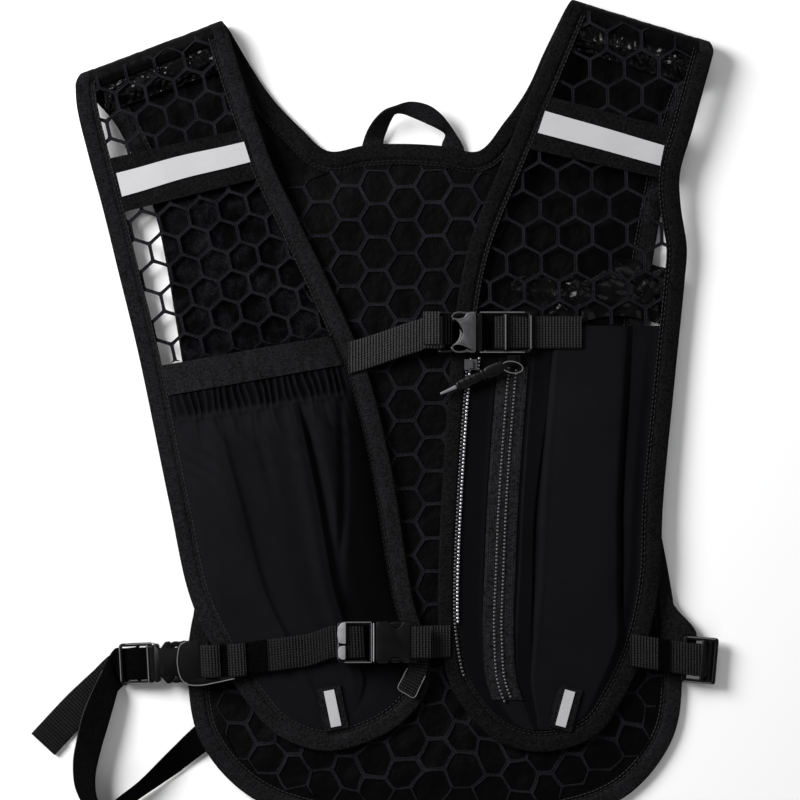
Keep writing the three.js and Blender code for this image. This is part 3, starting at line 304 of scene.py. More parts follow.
def loft(rings):
    """Rings of points, each joined to the next, with a face across both ends; U runs along, V round."""
    rows, count = rings.shape[:2]
    start = np.arange(rows - 1)[:, None] * count
    here = np.arange(count)[None]
    after = (here + 1) % count
    quads = np.stack([start + here, start + after, start + count + after, start + count + here], -1)
    last = (rows - 1) * count
    faces = quads.reshape(-1, 4).tolist() + [list(range(count))[::-1], list(range(last, last + count))]
    u = lengths(rings.mean(1))[:, None] + np.zeros((1, count))
    round_ring = np.linalg.norm(rings - np.roll(rings, 1, 1), axis=2).cumsum(1)
    return rings.reshape(-1, 3), faces, np.stack([u, round_ring], -1).reshape(-1, 2)


def normals(grid):
    """Direction square to a grid of points, from its two gradients."""
    return unit(np.cross(np.gradient(grid, axis=1), np.gradient(grid, axis=0)))


def spacing(grid, axis):
    """Distance from each point of a grid to the next along an axis."""
    return np.linalg.norm(np.diff(grid, axis=axis), axis=2)


def shell(grid, thick, square=None):
    """A sheet of even thickness with the grid as its middle; U runs across and V along it."""
    rows, count = grid.shape[:2]
    lift = (normals(grid) if square is None else square) * thick / 2
    index = np.arange(rows * count).reshape(rows, count)
    top = np.stack([index[:-1, :-1], index[:-1, 1:], index[1:, 1:], index[1:, :-1]], -1).reshape(-1, 4)
    rim = np.concatenate([index[0, :-1], index[:-1, -1], index[-1, :0:-1], index[:0:-1, 0]])
    after = np.roll(rim, -1)
    size = rows * count
    wall = np.stack([rim, rim + size, after + size, after], 1)
    faces = np.vstack([top, top[:, ::-1] + size, wall]).tolist()
    across = np.pad(spacing(grid, 1).cumsum(1), ((0, 0), (1, 0)))
    along = np.pad(spacing(grid, 0).cumsum(0), ((1, 0), (0, 0)))
    uv = np.stack([across, along], -1).reshape(-1, 2)
    return np.vstack([(grid + lift).reshape(-1, 3), (grid - lift).reshape(-1, 3)]), faces, np.vstack([uv, uv])


WEB_PROFILE = np.array([
    (-1, -0.25), (-0.985, -0.75), (-0.93, -1), (-0.5, -1), (0, -1), (0.5, -1), (0.93, -1), (0.985, -0.75),
    (1, -0.25), (1, 0.25), (0.985, 0.75), (0.93, 1), (0.5, 1), (0, 1), (-0.5, 1), (-0.93, 1), (-0.985, 0.75),
    (-1, 0.25),
])


def band(a, b, thick):
    """A flat band between two edge lines with rounded edges: the profile is carried along both at once."""
    middle = (a + b) / 2
    side = b - a
    up = unit(np.cross(ways(middle), side)) * thick / 2
    t, n = WEB_PROFILE.T[..., None]
    return loft(middle[:, None] + side[:, None] / 2 * t + up[:, None] * n)


def ribbon(points, width, thick, across=None, step=1.5):
    """A band of one width along the smooth curve through the points."""
    line = even(curve(points), step)
    side = unit(np.cross(UP, ways(line))) if across is None else np.asarray(across, float)[None]
    side = side * width / 2
    return band(line - side, line + side, thick)


def edged_band(rows, thick):
    """A band through pairs of edge points."""
    line = even(curve(rows), 2.0)
    return band(line[:, :3], line[:, 3:], thick)


def copies(base, faces, origins, along, across, up):
    """A small shape repeated with its own three axes at each origin."""
    frames = np.stack([along, across, up], 2)
    verts = origins[:, None] + np.einsum("nij,kj->nki", frames, base)
    first = np.arange(len(origins))[:, None, None] * len(base)
    index = (first + np.asarray(faces)[None]).reshape(-1, len(faces[0]))
    return verts.reshape(-1, 3), index.tolist(), np.tile(base[:, :2], (len(origins), 1))


def stack_faces(count):
    """Faces round a stack of four-cornered rings, closed at both ends."""
    row, k = np.meshgrid(np.arange(count - 1) * 4, np.arange(4), indexing="ij")
    after = (k + 1) % 4
    quads = np.stack([row + k, row + after, row + 4 + after, row + 4 + k], -1).reshape(-1, 4).tolist()
    return [*quads, [3, 2, 1, 0], list(range(4 * count - 4, 4 * count))]


def soft_outline(corners, step, passes):
    """A closed outline, anticlockwise: even points averaged with their neighbours, which rounds its corners."""
    line = np.asarray(corners, float)
    line = even(np.vstack([line, line[:1]]), step)[:-1]
    for _ in range(passes):
        line = (np.roll(line, 1, 0) + 2 * line + np.roll(line, -1, 0)) / 4
    return line


def inwards(outline):
    """Direction into a closed outline at each point: its own direction, turned to the left."""
    way = unit(np.roll(outline, -1, 0) - np.roll(outline, 1, 0))
    return np.stack([-way[:, 1], way[:, 0]], 1)


def slab(outline, low, high, bevel):
    """A moulded plate: the outline, drawn in by a rounded bevel at its lower and upper face."""
    steps = [(bevel, 0), (0.3 * bevel, 0.3 * bevel), (0, bevel)]
    rows = [(d, low + h) for d, h in steps] + [(d, high - h) for d, h in steps[::-1]]
    into = inwards(outline)
    return loft(np.stack([np.column_stack([outline + into * d, np.full(len(outline), z)]) for d, z in rows]))


def hoop(outline, width, low, high, bevel):
    """A moulded frame: a bar with rounded corners carried round the inside of a closed outline."""
    b, c, w = bevel, 0.3 * bevel, width
    section = np.array([
        (0, low + b), (c, low + c), (b, low), (w - b, low), (w - c, low + c), (w, low + b), (w, high - b),
        (w - c, high - c), (w - b, high), (b, high), (c, high - c), (0, high - b),
    ])
    flat = outline[:, None] + inwards(outline)[:, None] * section[:, :1]
    rings = np.concatenate([flat, np.broadcast_to(section[:, 1:], (*flat.shape[:2], 1))], -1)
    index = np.arange(rings.shape[0] * rings.shape[1]).reshape(rings.shape[:2])
    after = np.roll(index, -1, 0)
    quads = np.stack([index, np.roll(index, -1, 1), np.roll(after, -1, 1), after], -1).reshape(-1, 4)
    return rings.reshape(-1, 3), quads.tolist(), rings[..., :2].reshape(-1, 2)


def rod(rows):
    """A bar through rows of x, y, z, width and thickness: an oval section, squared off, that tapers at its ends."""
    line = even(curve(rows), ROD_STEP)
    way = ways(line[:, :3])
    side = unit(np.cross(UP, way))
    up = np.cross(way, side)
    t = 2 * np.pi * np.arange(ROD_SIDES) / ROD_SIDES
    oval = [np.sign(wave) * np.abs(wave) ** ROD_SQUARE for wave in (np.cos(t), np.sin(t))]
    size = np.ones(len(line))
    size[[0, -1]], size[[1, -2]] = 0.7, 0.93
    wide, high = (line[:, k, None] / 2 * size[:, None] * oval[k - 3] for k in (3, 4))
    return loft(line[:, None, :3] + side[:, None] * wide[..., None] + up[:, None] * high[..., None])


def crossbar(x, z, half, width, thick):
    """A straight rod across, from -half to half."""
    return rod([(x, y, z, width, thick) for y in (-half, 0, half)])


def moved(shape, place):
    """A shape whose vertices have gone through place."""
    return place(shape[0]), shape[1], shape[2]


def piece(name, shape, look, nodes=(), merge=0.0, sharp=50, tone_and_shade=None):
    """Puts a closed surface into Blender, in metres, with its UV, look and body, and its tone and painted shade if it
    has them.
    """
    verts, faces, uv = shape
    mesh = bpy.data.meshes.new(name)
    mesh.from_pydata((np.asarray(verts) * MM).tolist(), [], faces)
    corner = np.empty(len(mesh.loops), np.int32)
    mesh.loops.foreach_get("vertex_index", corner)
    mesh.uv_layers.new(name="UVMap").data.foreach_set("uv", (uv * MM)[corner].astype(np.float32).ravel())
    bm = bmesh.new()
    bm.from_mesh(mesh)
    if merge:
        bmesh.ops.remove_doubles(bm, verts=bm.verts, dist=merge * MM)
        bmesh.ops.dissolve_degenerate(bm, edges=bm.edges, dist=merge * MM / 4)
    bmesh.ops.recalc_face_normals(bm, faces=bm.faces)
    bm.to_mesh(mesh)
    bm.free()
    # The pocket cloth's colour is multiplied by this point attribute: painted shade on the pouches, an even 0.6 on the
    # cloth behind them.
    if tone_and_shade is not None:
        mesh.attributes.new("tone_and_shade", "FLOAT", "POINT").data.foreach_set("value", np.asarray(tone_and_shade, np.float32))
    mesh.shade_smooth()
    mesh.set_sharp_from_angle(angle=math.radians(sharp))
    obj = bpy.data.objects.new(name, mesh)
    bpy.context.scene.collection.objects.link(obj)
    mesh.materials.append(finish(look))
    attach(obj, "root")
    if nodes:
        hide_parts(*nodes)
    return obj


def declare_sheet(grid):
    """Works out a cloth piece's longest row and column, in metres, but declares nothing and takes no area."""
    width, length = (spacing(grid, axis).sum(axis).max() * MM for axis in (1, 0))


# Where the cloth lies.


def way_from(a, b):
    """Direction from one place to another."""
    d = np.subtract(b, a).astype(float)
    return d / np.linalg.norm(d)


FRONTS = {side: curve(rows) for side, rows in FRONT_EDGES.items()}
FRONT_WAYS = {
    "left": {"arm": way_from(*FRONTS["left"][[0, 5]]), "neck": way_from(*FRONTS["left"][[-1, -6]])},
    "right": {"arm": way_from(*FRONTS["right"][[-1, -6]]), "neck": way_from(*FRONTS["right"][[0, 5]])},
}


def fold_arc(side, edge):
    """Half a turn about the shoulder fold, out to its corner, then the short way to the front's seam.

    A point lies R (1 - cos t) inside the corner and R (1 + sin t) above the back layer, t from -90 to 90. The
    edge is drawn in by the square of cos t, which rounds the corner seen from above.
    """
    near, corner = (np.array(p, float) for p in YOKES[side][edge][-2:])
    back_way, front_way = way_from(corner, near), FRONT_WAYS[side][edge]
    ruling = way_from(YOKES[side]["arm"][-1], YOKES[side]["neck"][-1]) * (1 if edge == "arm" else -1)
    t = np.radians(np.linspace(-90, 90, FOLD_STEPS))[:, None]
    way = np.where(t < 0, back_way, front_way)
    flat = corner + way * FOLD_RADIUS * (1 - np.cos(t)) + ruling * CORNER_ROUND[edge] * np.cos(t) ** 2
    point = np.hstack([flat, BACK_MID + FOLD_RADIUS * (1 + np.sin(t))])
    along = np.hstack([way * np.sin(t), np.cos(t)])
    outward = np.hstack([-way * np.cos(t), np.sin(t)])
    inward = np.tile(np.append(ruling, 0), (FOLD_STEPS, 1))
    normal = unit(np.cross(inward, along))
    normal *= np.sign((normal * outward).sum(1, keepdims=True))
    share = np.linspace(0, 1, 5)[1:, None]
    seam = np.hstack([lerp(flat[-1], corner + front_way * FOLD_SEAM, share), np.full((4, 1), FRONT_HIGH)])
    return (
        np.vstack([point, seam]),
        np.vstack([normal, np.tile(UP, (4, 1))]),
        np.vstack([inward, inward[:4]]),
    )


def flat_control(edge, middle):
    """Points of a back edge between its two shoulder folds."""
    ends = {side: fold_arc(side, edge)[0][0, :2] for side in ("left", "right")}
    left, right = YOKES["left"][edge][1:-1], YOKES["right"][edge][1:-1]
    return np.array([ends["left"], *left[::-1], *middle, *right, ends["right"]], float)


BACK_LINES = {"arm": curve(flat_control("arm", BACK_EDGE)), "neck": curve(flat_control("neck", NECK_EDGE))}
LOWEST = BACK_LINES["arm"][:, 1].argmin()
BACK_SIDES = {"left": BACK_LINES["arm"][LOWEST::-1], "right": BACK_LINES["arm"][LOWEST:]}


def back_path(edge):
    """An edge of the back from the top of one shoulder fold, along the back, to the top of the other.

    Gives its points, the direction square to the cloth and the direction into the cloth.
    """
    flat = even(BACK_LINES[edge], 1.6)[1:-1]
    way = ways(flat)
    hand = 1 if edge == "arm" else -1
    into = hand * np.stack([-way[:, 1], way[:, 0], np.zeros(len(way))], 1)
    points = np.column_stack([flat, np.full(len(flat), BACK_MID)])
    down = np.tile(-UP, (len(flat), 1))
    left, right = fold_arc("left", edge), fold_arc("right", edge)
    return tuple(
        np.vstack([first[FOLD_STEPS - 1::-1], middle, last[:FOLD_STEPS]])
        for first, middle, last in zip(left, (points, down, into), right)
    )


def front_height(side, x, y):
    """Middle of a front's cloth: it rises to the shoulder, and sinks where it lies past the back's edge."""
    edge = BACK_SIDES[side]
    past = (np.interp(y, edge[:, 1], edge[:, 0]) - x) * (1 if side == "left" else -1)
    resting = lerp(FRONT_LOW, FRONT_HIGH, smooth(y, 60, 190))
    return resting - DROOP_SLOPE * np.maximum(0, past + DROOP_START) * (1 - smooth(y, 110, 205))


def front_path(side):
    """A front's edge from fold to fold, with the directions square to and into the cloth.

    Next to a fold the way into the cloth turns to the fold's own line, as the back's binding has it.
    """
    line = FRONTS[side]
    first, last = way_from(line[0], line[5]), way_from(line[-1], line[-6])
    away = np.minimum(np.linalg.norm(line - line[0], axis=1), np.linalg.norm(line - line[-1], axis=1))
    seam = FOLD_RADIUS
    flat = np.vstack([line[0] + first * seam, line[away > seam + 2], line[-1] + last * seam])
    flat = even(flat, 1.6)
    x, y = flat.T
    reach = 9.5
    rise_x = (front_height(side, x + reach, y) - front_height(side, x - reach, y)) / (2 * reach)
    rise_y = (front_height(side, x, y + reach) - front_height(side, x, y - reach)) / (2 * reach)
    normal = unit(np.stack([-rise_x, -rise_y, np.ones_like(x)], 1))
    points = np.column_stack([flat, front_height(side, x, y)])
    fold = np.append(way_from(line[0], line[-1]), 0)
    gone = lengths(flat)
    turn = [1 - smooth(distance, 0, 26) for distance in (gone, gone[-1] - gone)]
    square = unit(np.cross(normal, ways(points)))
    into = unit(lerp(lerp(square, fold, turn[0][:, None]), -fold, turn[1][:, None]))
    return points, normal, into


def front_sides(side, depth):
    """Left and right ends, at each y, of the space that lies depth inside a front's edge."""
    line = inset(FRONTS[side], depth)
    low = line[:, 1].argmin()
    left, right = line[low::-1], line[low:]
    return (
        lambda y: np.interp(y, np.maximum.accumulate(left[:, 1]), left[:, 0]),
        lambda y: np.interp(y, np.maximum.accumulate(right[:, 1]), right[:, 0]),
    )


def across_front(side, depth, a, row):
    """Places at shares a across a front, depth inside its edge; six rounds settle rows whose y depends on x."""
    low, high = front_sides(side, depth)
    x = np.full_like(a, float(NET_ENDS[side][0]))
    for _ in range(6):
        y = row(x)
        x = lerp(low(y), high(y), a)
    return x, y


def front_grid(side, columns, rows, depth, drop, end_y):
    """Places on a front by their share across and along, from its net's end to the pocket's end."""
    x_end, y_end, slope = NET_ENDS[side]
    a, s = shares(columns, rows)
    x, y = across_front(side, depth, a, lambda x: lerp(y_end - drop, end_y, s) + slope * (1 - s) * (x - x_end))
    return x, y, a, s


def gathers(a, s):
    """Wave of the gathers across the left pouch's mouth, from 0 to 1, wandering a little."""
    wander = 0.006 * np.sin(19 * a + 40 * s) + 0.004 * np.sin(47 * a)
    return np.abs(np.sin(np.pi * GATHERS * (a + wander)))


def left_rise(a, s):
    """The left pouch: a swollen dome with gathers at its mouth and long folds that fade towards its end."""
    swell = 10 * eased(LEFT_SWELL, s) * np.sin(np.pi * a.clip(0, 1)) ** 0.6
    fade = smooth(s, 0.06, 0.2) * (1 - smooth(s, 0.72, 0.97))
    off = a - 0.695 - 0.03 * s
    edge = a - 0.225 - 0.13 * s
    second = a - 0.955 + 0.365 * s
    parted = 1 - smooth(s, 0.42, 0.6)
    folds = (
        1.7 * bell(edge, np.where(edge < 0, 0.06, 0.022))
        - 5.4 * bell(off, np.where(off < 0, 0.006 + 0.012 * s, 0.014 + 0.075 * s))
        + 1.5 * bell(a - 0.64, 0.035)
        + 1.8 * bell(lerp(off, second, 0.5), 0.05) * parted
        - 3.4 * bell(second, 0.022) * parted
        - 1.5 * bell(a - 0.43 - 0.08 * s, 0.03) * (1 - smooth(s, 0.22, 0.4))
        + 1.2 * bell(a - 0.14 - 0.22 * s, 0.035) * (1 - smooth(s, 0.3, 0.55))
        + 0.45 * np.sin(2 * np.pi * (4.2 * a + 0.35 * np.sin(4 * s)))
    )
    gather = 1.0 - 2.3 * gathers(a, s) ** 0.8
    depth = 0.95 * (1 - smooth(s, 0.055, 0.085)) + 0.22 * (1 - smooth(s, 0.08, 0.22)) * np.cos(31 * a + 2)
    below = smooth(s, 0.07, 0.1) * (1 - smooth(s, 0.12, 0.4))
    puckers = 0.5 * np.sin(2 * np.pi * (9 * a + 1.4 * np.sin(14 * s))) * below
    ridge = 0.8 * bell(s - 0.078 - 0.003 * np.sin(70 * a), 0.006)
    return np.maximum(0.05, swell + folds * fade + (gather * depth + puckers + ridge) * np.minimum(1, swell / 3))


def pleated(a, s):
    """Share across at which the right pouch's section is read: its pleat runs straighter than its edge."""
    return a - (0.075 * s + 0.1 * smooth(s, 0.6, 0.9)) * smooth(a, 0.5, 0.82)


def right_rise(a, s):
    """The right pouch: a flat swollen panel between a seam and a pleat, beside the lower zip panel."""
    shifted = pleated(a, s)
    pleat = eased(RIGHT_PLEATS, shifted) * (1 - smooth(a, 0.93, 1.0))
    crest = shifted - 0.852
    seam = (
        -1.7 * bell(a - 0.428 - 0.012 * np.sin(9 * s), 0.009)
        - 3.2 * bell(crest, np.where(crest < 0, 0.018, 0.008))
        - 1.1 * bell(a - 0.145, 0.006)
        - 0.6 * bell(a - 0.328, 0.006)
        + 0.5 * bell(a - 0.46, 0.02)
    )
    crease = 0.18 * np.sin(7 * a + 9 * s) * np.sin(5 * s + 3 * a) + 0.15 * np.sin(16 * s + 6 * a)
    swell = eased(RIGHT_SWELL, s)
    body = smooth(a, 0.0, 0.1) * (1 - smooth(a, 0.92, 1.0))
    return np.maximum(0.05, 7 * swell * pleat + (seam + crease) * swell * body)


def pouch_tone_and_shade(side, a, s):
    """How light a pouch's cloth is: painted shade on the left one's right flank past its deep fold, in the valleys of
    its gathers, and in the right one's pleat crease; the right one is also darker beside its zips.
    """
    if side == "left":
        # Painted shade on the left pouch's right flank, past its deep fold, and in the valleys of its gathers at the
        # mouth.
        past = smooth(a - np.maximum(0.955 - 0.365 * s, 0.71), -0.02, 0.05) * smooth(s, 0.04, 0.12)
        drawn = gathers(a, s) ** 1.5 * (1 - smooth(s, 0.055, 0.085))
        return (1.05 - 0.88 * past * (1 - smooth(s, 0.8, 0.95))) * (1 - 0.75 * drawn)
    # Painted shade in the right pouch's pleat crease; the cloth is also darker beside its zips.
    zips = 1 - smooth(a, 0.1, 0.16) + smooth(a, 0.33, 0.345) * (1 - smooth(a, 0.42, 0.44))
    return 1 - 0.6 * np.maximum(zips.clip(0, 1), bell(pleated(a, s) - 0.86, 0.012))


POUCHES = {"left": (20.4, left_rise), "right": (0.4, right_rise)}
POUCH_END = -197.6


def pouch_top(side, x, y):
    """Top of a pouch at places in plan."""
    x_end, y_end, slope = NET_ENDS[side]
    drop, rise = POUCHES[side]
    top = y_end - drop
    start = top + slope * (1 - np.clip((top - y) / (top - POUCH_END), 0, 1)) * (x - x_end)
    s = np.clip((start - y) / (start - POUCH_END), 0, 1)
    low, high = front_sides(side, STRIP - 0.3)
    lowest = np.maximum(y, POUCH_END)
    a = np.clip((x - low(lowest)) / (high(lowest) - low(lowest)), 0, 1)
    return front_height(side, x, y) + ON_FRONT + rise(a, s) + 1


# Materials.


class Value:
    """A value that changes over a surface: arithmetic on it adds Math nodes to its finish."""

    def __init__(self, finish, socket):
        self.finish, self.socket = finish, socket

    def math(self, operation, a, b=0.5):
        return self.finish.node("ShaderNodeMath", {"operation": operation}, {0: a, 1: b})

    def __add__(self, other):
        return self.math("ADD", self, other)

    def __sub__(self, other):
        return self.math("SUBTRACT", self, other)

    def __rsub__(self, other):
        return self.math("SUBTRACT", other, self)

    def __mul__(self, other):
        return self.math("MULTIPLY", self, other)

    __radd__ = __add__
    __rmul__ = __mul__

    def sine(self):
        return self.math("SINE", self)


class Finish:
    """A material whose nodes are added one by one."""

    def __init__(self, name, **constants):
        self.material = bpy.data.materials.new(name)
        self.material.use_nodes = True
        self.tree = self.material.node_tree
        self.shader = self.tree.nodes["Principled BSDF"]
        for socket, value in constants.items():
            self.shader.inputs[socket.replace("_", " ")].default_value = value

    def node(self, kind, settings=None, inputs=None, output=0):
        """Adds a node: its settings first, then the values or links of its sockets."""
        added = self.tree.nodes.new(kind)
        for name, value in (settings or {}).items():
            setattr(added, name, value)
        for key, value in (inputs or {}).items():
            self.feed(added.inputs[key], value)
        return Value(self, added.outputs[output])

    def feed(self, socket, value):
        """Links a value to a socket, or sets a number or colour on it."""
        if isinstance(value, Value):
            self.tree.links.new(value.socket, socket)
        else:
            socket.default_value = value

    def place(self):
        """Object coordinates, in metres."""
        return self.node("ShaderNodeTexCoord", output=3)

    def along(self):
        """UV in metres, as two values."""
        uv = self.node("ShaderNodeUVMap", {"uv_map": "UVMap"})
        split = self.node("ShaderNodeSeparateXYZ", None, {0: uv})
        return split, Value(self, split.socket.node.outputs[1])

    def noise(self, scale, detail=3.0, rough=0.6):
        """Noise through the object; the higher its scale, the finer it is."""
        inputs = {"Vector": self.place(), "Scale": scale, "Detail": detail, "Roughness": rough}
        return self.node("ShaderNodeTexNoise", {"noise_dimensions": "3D"}, inputs)

    def set(self, **sockets):
        """Feeds sockets of the shader."""
        for name, value in sockets.items():
            self.feed(self.shader.inputs[name.replace("_", " ")], value)

    def colour(self, factor, level, low, high, cool=0.06):
        """Base colour by a factor, from low to high times a level of grey with a cast."""
        dark, light = ((*grey(level * share, cool), 1) for share in (low, high))
        settings = {"data_type": "RGBA", "clamp_factor": True}
        self.set(Base_Color=self.node("ShaderNodeMix", settings, {0: factor, 6: dark, 7: light}, output=2))

    def bump(self, height, distance, strength=1.0):
        """Relief from a height."""
        inputs = {"Strength": strength, "Distance": distance, "Height": height}
        self.feed(self.shader.inputs["Normal"], self.node("ShaderNodeBump", None, inputs))


def grey(level, cool):
    """A near-black or grey with a slightly cool tint, towards violet where it is stronger."""
    return (level * (1 + cool / 5), level, level * (1 + cool))


DYE = 0.28  # violet cast of black dyed cloth


def honeycomb_finish(level):
    """Knitted polyester bars: fine fibres over a matte black."""
    f = Finish("honeycomb_knit", Roughness=0.85, Specular_IOR_Level=0.04)
    fibre = f.noise(1100.0, 3.0, 0.8)
    worn = f.noise(45.0, 2.0)
    f.colour(2.6 * fibre + worn - 1.3, level, 0.25, 1.9, DYE)
    f.bump(fibre, 0.001, 1.0)
    return f.material


def satin_finish(level):
    """Thin cloth over the padding: a fine weave with broad, soft wrinkles."""
    f = Finish("padding_satin", Specular_IOR_Level=0.04)
    crinkle = f.noise(70.0, 3.0, 0.5)
    weave = f.noise(3200.0, 1.0)
    f.colour(weave, level, 0.6, 1.4, DYE)
    f.set(Roughness=0.5 + 0.2 * crinkle)
    f.bump(crinkle + 0.03 * weave, 0.006, 0.4)
    return f.material


def lining_finish(level):
    """Slick lining: nearly black, with sharp glints on its creases."""
    f = Finish("slick_lining", Specular_IOR_Level=0.1)
    crease = f.noise(160.0, 3.0, 0.5)
    f.colour(crease, level, 0.5, 1.5)
    f.set(Roughness=0.12 + 0.2 * crease)
    f.bump(crease, 0.003, 0.25)
    return f.material


def gauze_finish(level):
    """Crumpled gauze under the left net: black, with lighter speckled patches painted on as highlights of its
    crumples.
    """
    f = Finish("crumpled_gauze", Roughness=0.85, Specular_IOR_Level=0.03)
    patch = f.noise(60.0, 4.0, 0.7)
    fleck = f.noise(1100.0, 2.0, 0.8)
    # Painted highlights: patches up to nine times as light as the black, where the crumpled cloth would glint.
    tone = (4.0 * patch - 1.75) * (4.0 * fleck - 1.5)
    f.colour(tone, level, 0.5, 9, DYE)
    f.bump(patch + 0.15 * fleck, 0.003, 0.6)
    return f.material


def pouch_finish(level):
    """Thin stretch knit: fine diagonal twill, a little uneven in tone, and darkened by painted shade that the mesh
    carries in a point attribute.
    """
    f = Finish("pouch_knit", Specular_IOR_Level=0.025)
    u, v = f.along()
    twill = ((u + v) * (2 * math.pi / 0.0011)).sine()
    cloud = f.noise(24.0, 3.0)
    fleck = f.noise(2400.0, 2.0)
    tone_and_shade = f.node("ShaderNodeAttribute", {"attribute_name": "tone_and_shade"}, output=2)
    # The tone is multiplied by the painted shade that the mesh carries in its point attribute.
    tone = (0.55 * cloud + 0.35 * fleck + 0.1 * twill + 0.2) * tone_and_shade
    f.colour(tone, level, 0.06, 1.5, DYE)
    f.set(Roughness=0.62 + 0.2 * fleck)
    f.bump(twill * 0.5 + fleck, 0.0002, 0.5)
    return f.material


def tape_finish(name, level, pitch, grain, gloss=0.04):
    """Ribbed tape: fine ribs across it, worn lighter in places."""
    f = Finish(name, Roughness=0.8, Specular_IOR_Level=gloss)
    u, _ = f.along()
    rib = (u * (2 * math.pi / pitch)).sine() * 0.5 + 0.5
    fleck = f.noise(grain, 3.0, 0.75)
    cloud = f.noise(60.0, 2.0)
    tone = 0.06 * rib + 2.5 * fleck + 0.5 * cloud - 1.05
    f.colour(tone, level, 0.15, 2.1, 0.12)
    f.bump(rib * 0.15 + fleck, 0.0006, 0.8)
    return f.material


def webbing_finish(name, level, gloss):
    """Nylon webbing: round ribs straight across it, each a little uneven."""
    f = Finish(name, Roughness=0.6, Specular_IOR_Level=gloss)
    u, v = f.along()
    fleck = f.noise(900.0, 3.0)
    rib = (u * (2 * math.pi / 0.0019) + 2.4 * fleck).sine() * 0.5 + 0.5
    thread = (v * (2 * math.pi / 0.0016)).sine() * 0.5 + 0.5
    tone = 0.75 * rib + 0.15 * thread + 0.7 * fleck - 0.35
    f.colour(tone, level, 0.12, 2.1)
    f.bump(rib + 0.25 * thread + 0.5 * fleck, 0.0007, 0.9)
    return f.material


def plastic_finish(name, level, rough, specular):
    """Moulded acetal: satin, with a fine grain and a few handling marks."""
    f = Finish(name, Specular_IOR_Level=specular)
    grain = f.noise(1800.0, 2.0)
    mark = f.noise(140.0, 5.0, 0.7)
    f.colour(mark, level, 0.8, 1.25)
    f.set(Roughness=rough - 0.08 + 0.18 * mark)
    f.bump(grain, 0.00008, 0.4)
    return f.material


def metal_finish(name, level, rough, metallic):
    """Glossy beads: partly metallic, with fine wear."""
    f = Finish(name, Metallic=metallic)
    worn = f.noise(700.0, 3.0)
    f.colour(worn, level, 0.7, 1.3)
    f.set(Roughness=rough + 0.15 * worn)
    return f.material


def reflective_finish(level):
    """Glass-bead tape: pale grey with a fine grain and faint clouds."""
    f = Finish("reflective_beads", Roughness=0.5, Specular_IOR_Level=0.4)
    bead = f.noise(2800.0, 2.0)
    cloud = f.noise(40.0, 3.0)
    f.colour(0.5 * bead + 0.7 * cloud - 0.1, level, 0.86, 1.1, 0.03)
    f.bump(bead, 0.0001, 0.4)
    return f.material


def thread_finish(name, level):
    """Twisted thread: uneven along its length, with a soft gloss."""
    f = Finish(name, Roughness=0.6, Specular_IOR_Level=0.15)
    twist = f.noise(3000.0, 1.0)
    f.colour(twist, level, 0.5, 1.5)
    return f.material


FINISHES = {}


def shade(name, description, default):
    """A colour in the panel, as a grey level."""
    return bpy.props.FloatProperty(
        name=name, description=description, default=default, subtype="FACTOR", min=0, max=1)


def distance(name, description, default):
    """A size in the panel, in metres."""
    return bpy.props.FloatProperty(name=name, description=description, default=default, unit="LENGTH")


class VestColours(bpy.types.PropertyGroup):
    """Depth of colour of each cloth, from black at 0 to white at 1."""

    net: shade("Net", "Grey level of the honeycomb bars", 0.0086)
    lining: shade("Lining", "Grey level of the cloth over the padding", 0.0007)
    cloth: shade("Pocket cloth", "Grey level of the pockets", 0.0042)
    tape: shade("Binding", "Grey level of bindings and tapes", 0.0056)
    webbing: shade("Webbing", "Grey level of straps and elastic", 0.0078)
    reflective: shade("Reflective", "Grey level of the reflective strips", 0.42)


class VestSizes(bpy.types.PropertyGroup):
    """Sizes that change the look of the vest without moving its pieces."""

    net_bar: distance("Net bar", "Width of the bars between the net's cells", 0.0021)
    stitch: distance("Stitch", "Length of one stitch and its gap", 0.0034)
    webbing: distance("Webbing", "Width of the straps", 0.02)
    tooth: distance("Zip tooth", "Pitch of the zips' teeth", 0.0023)


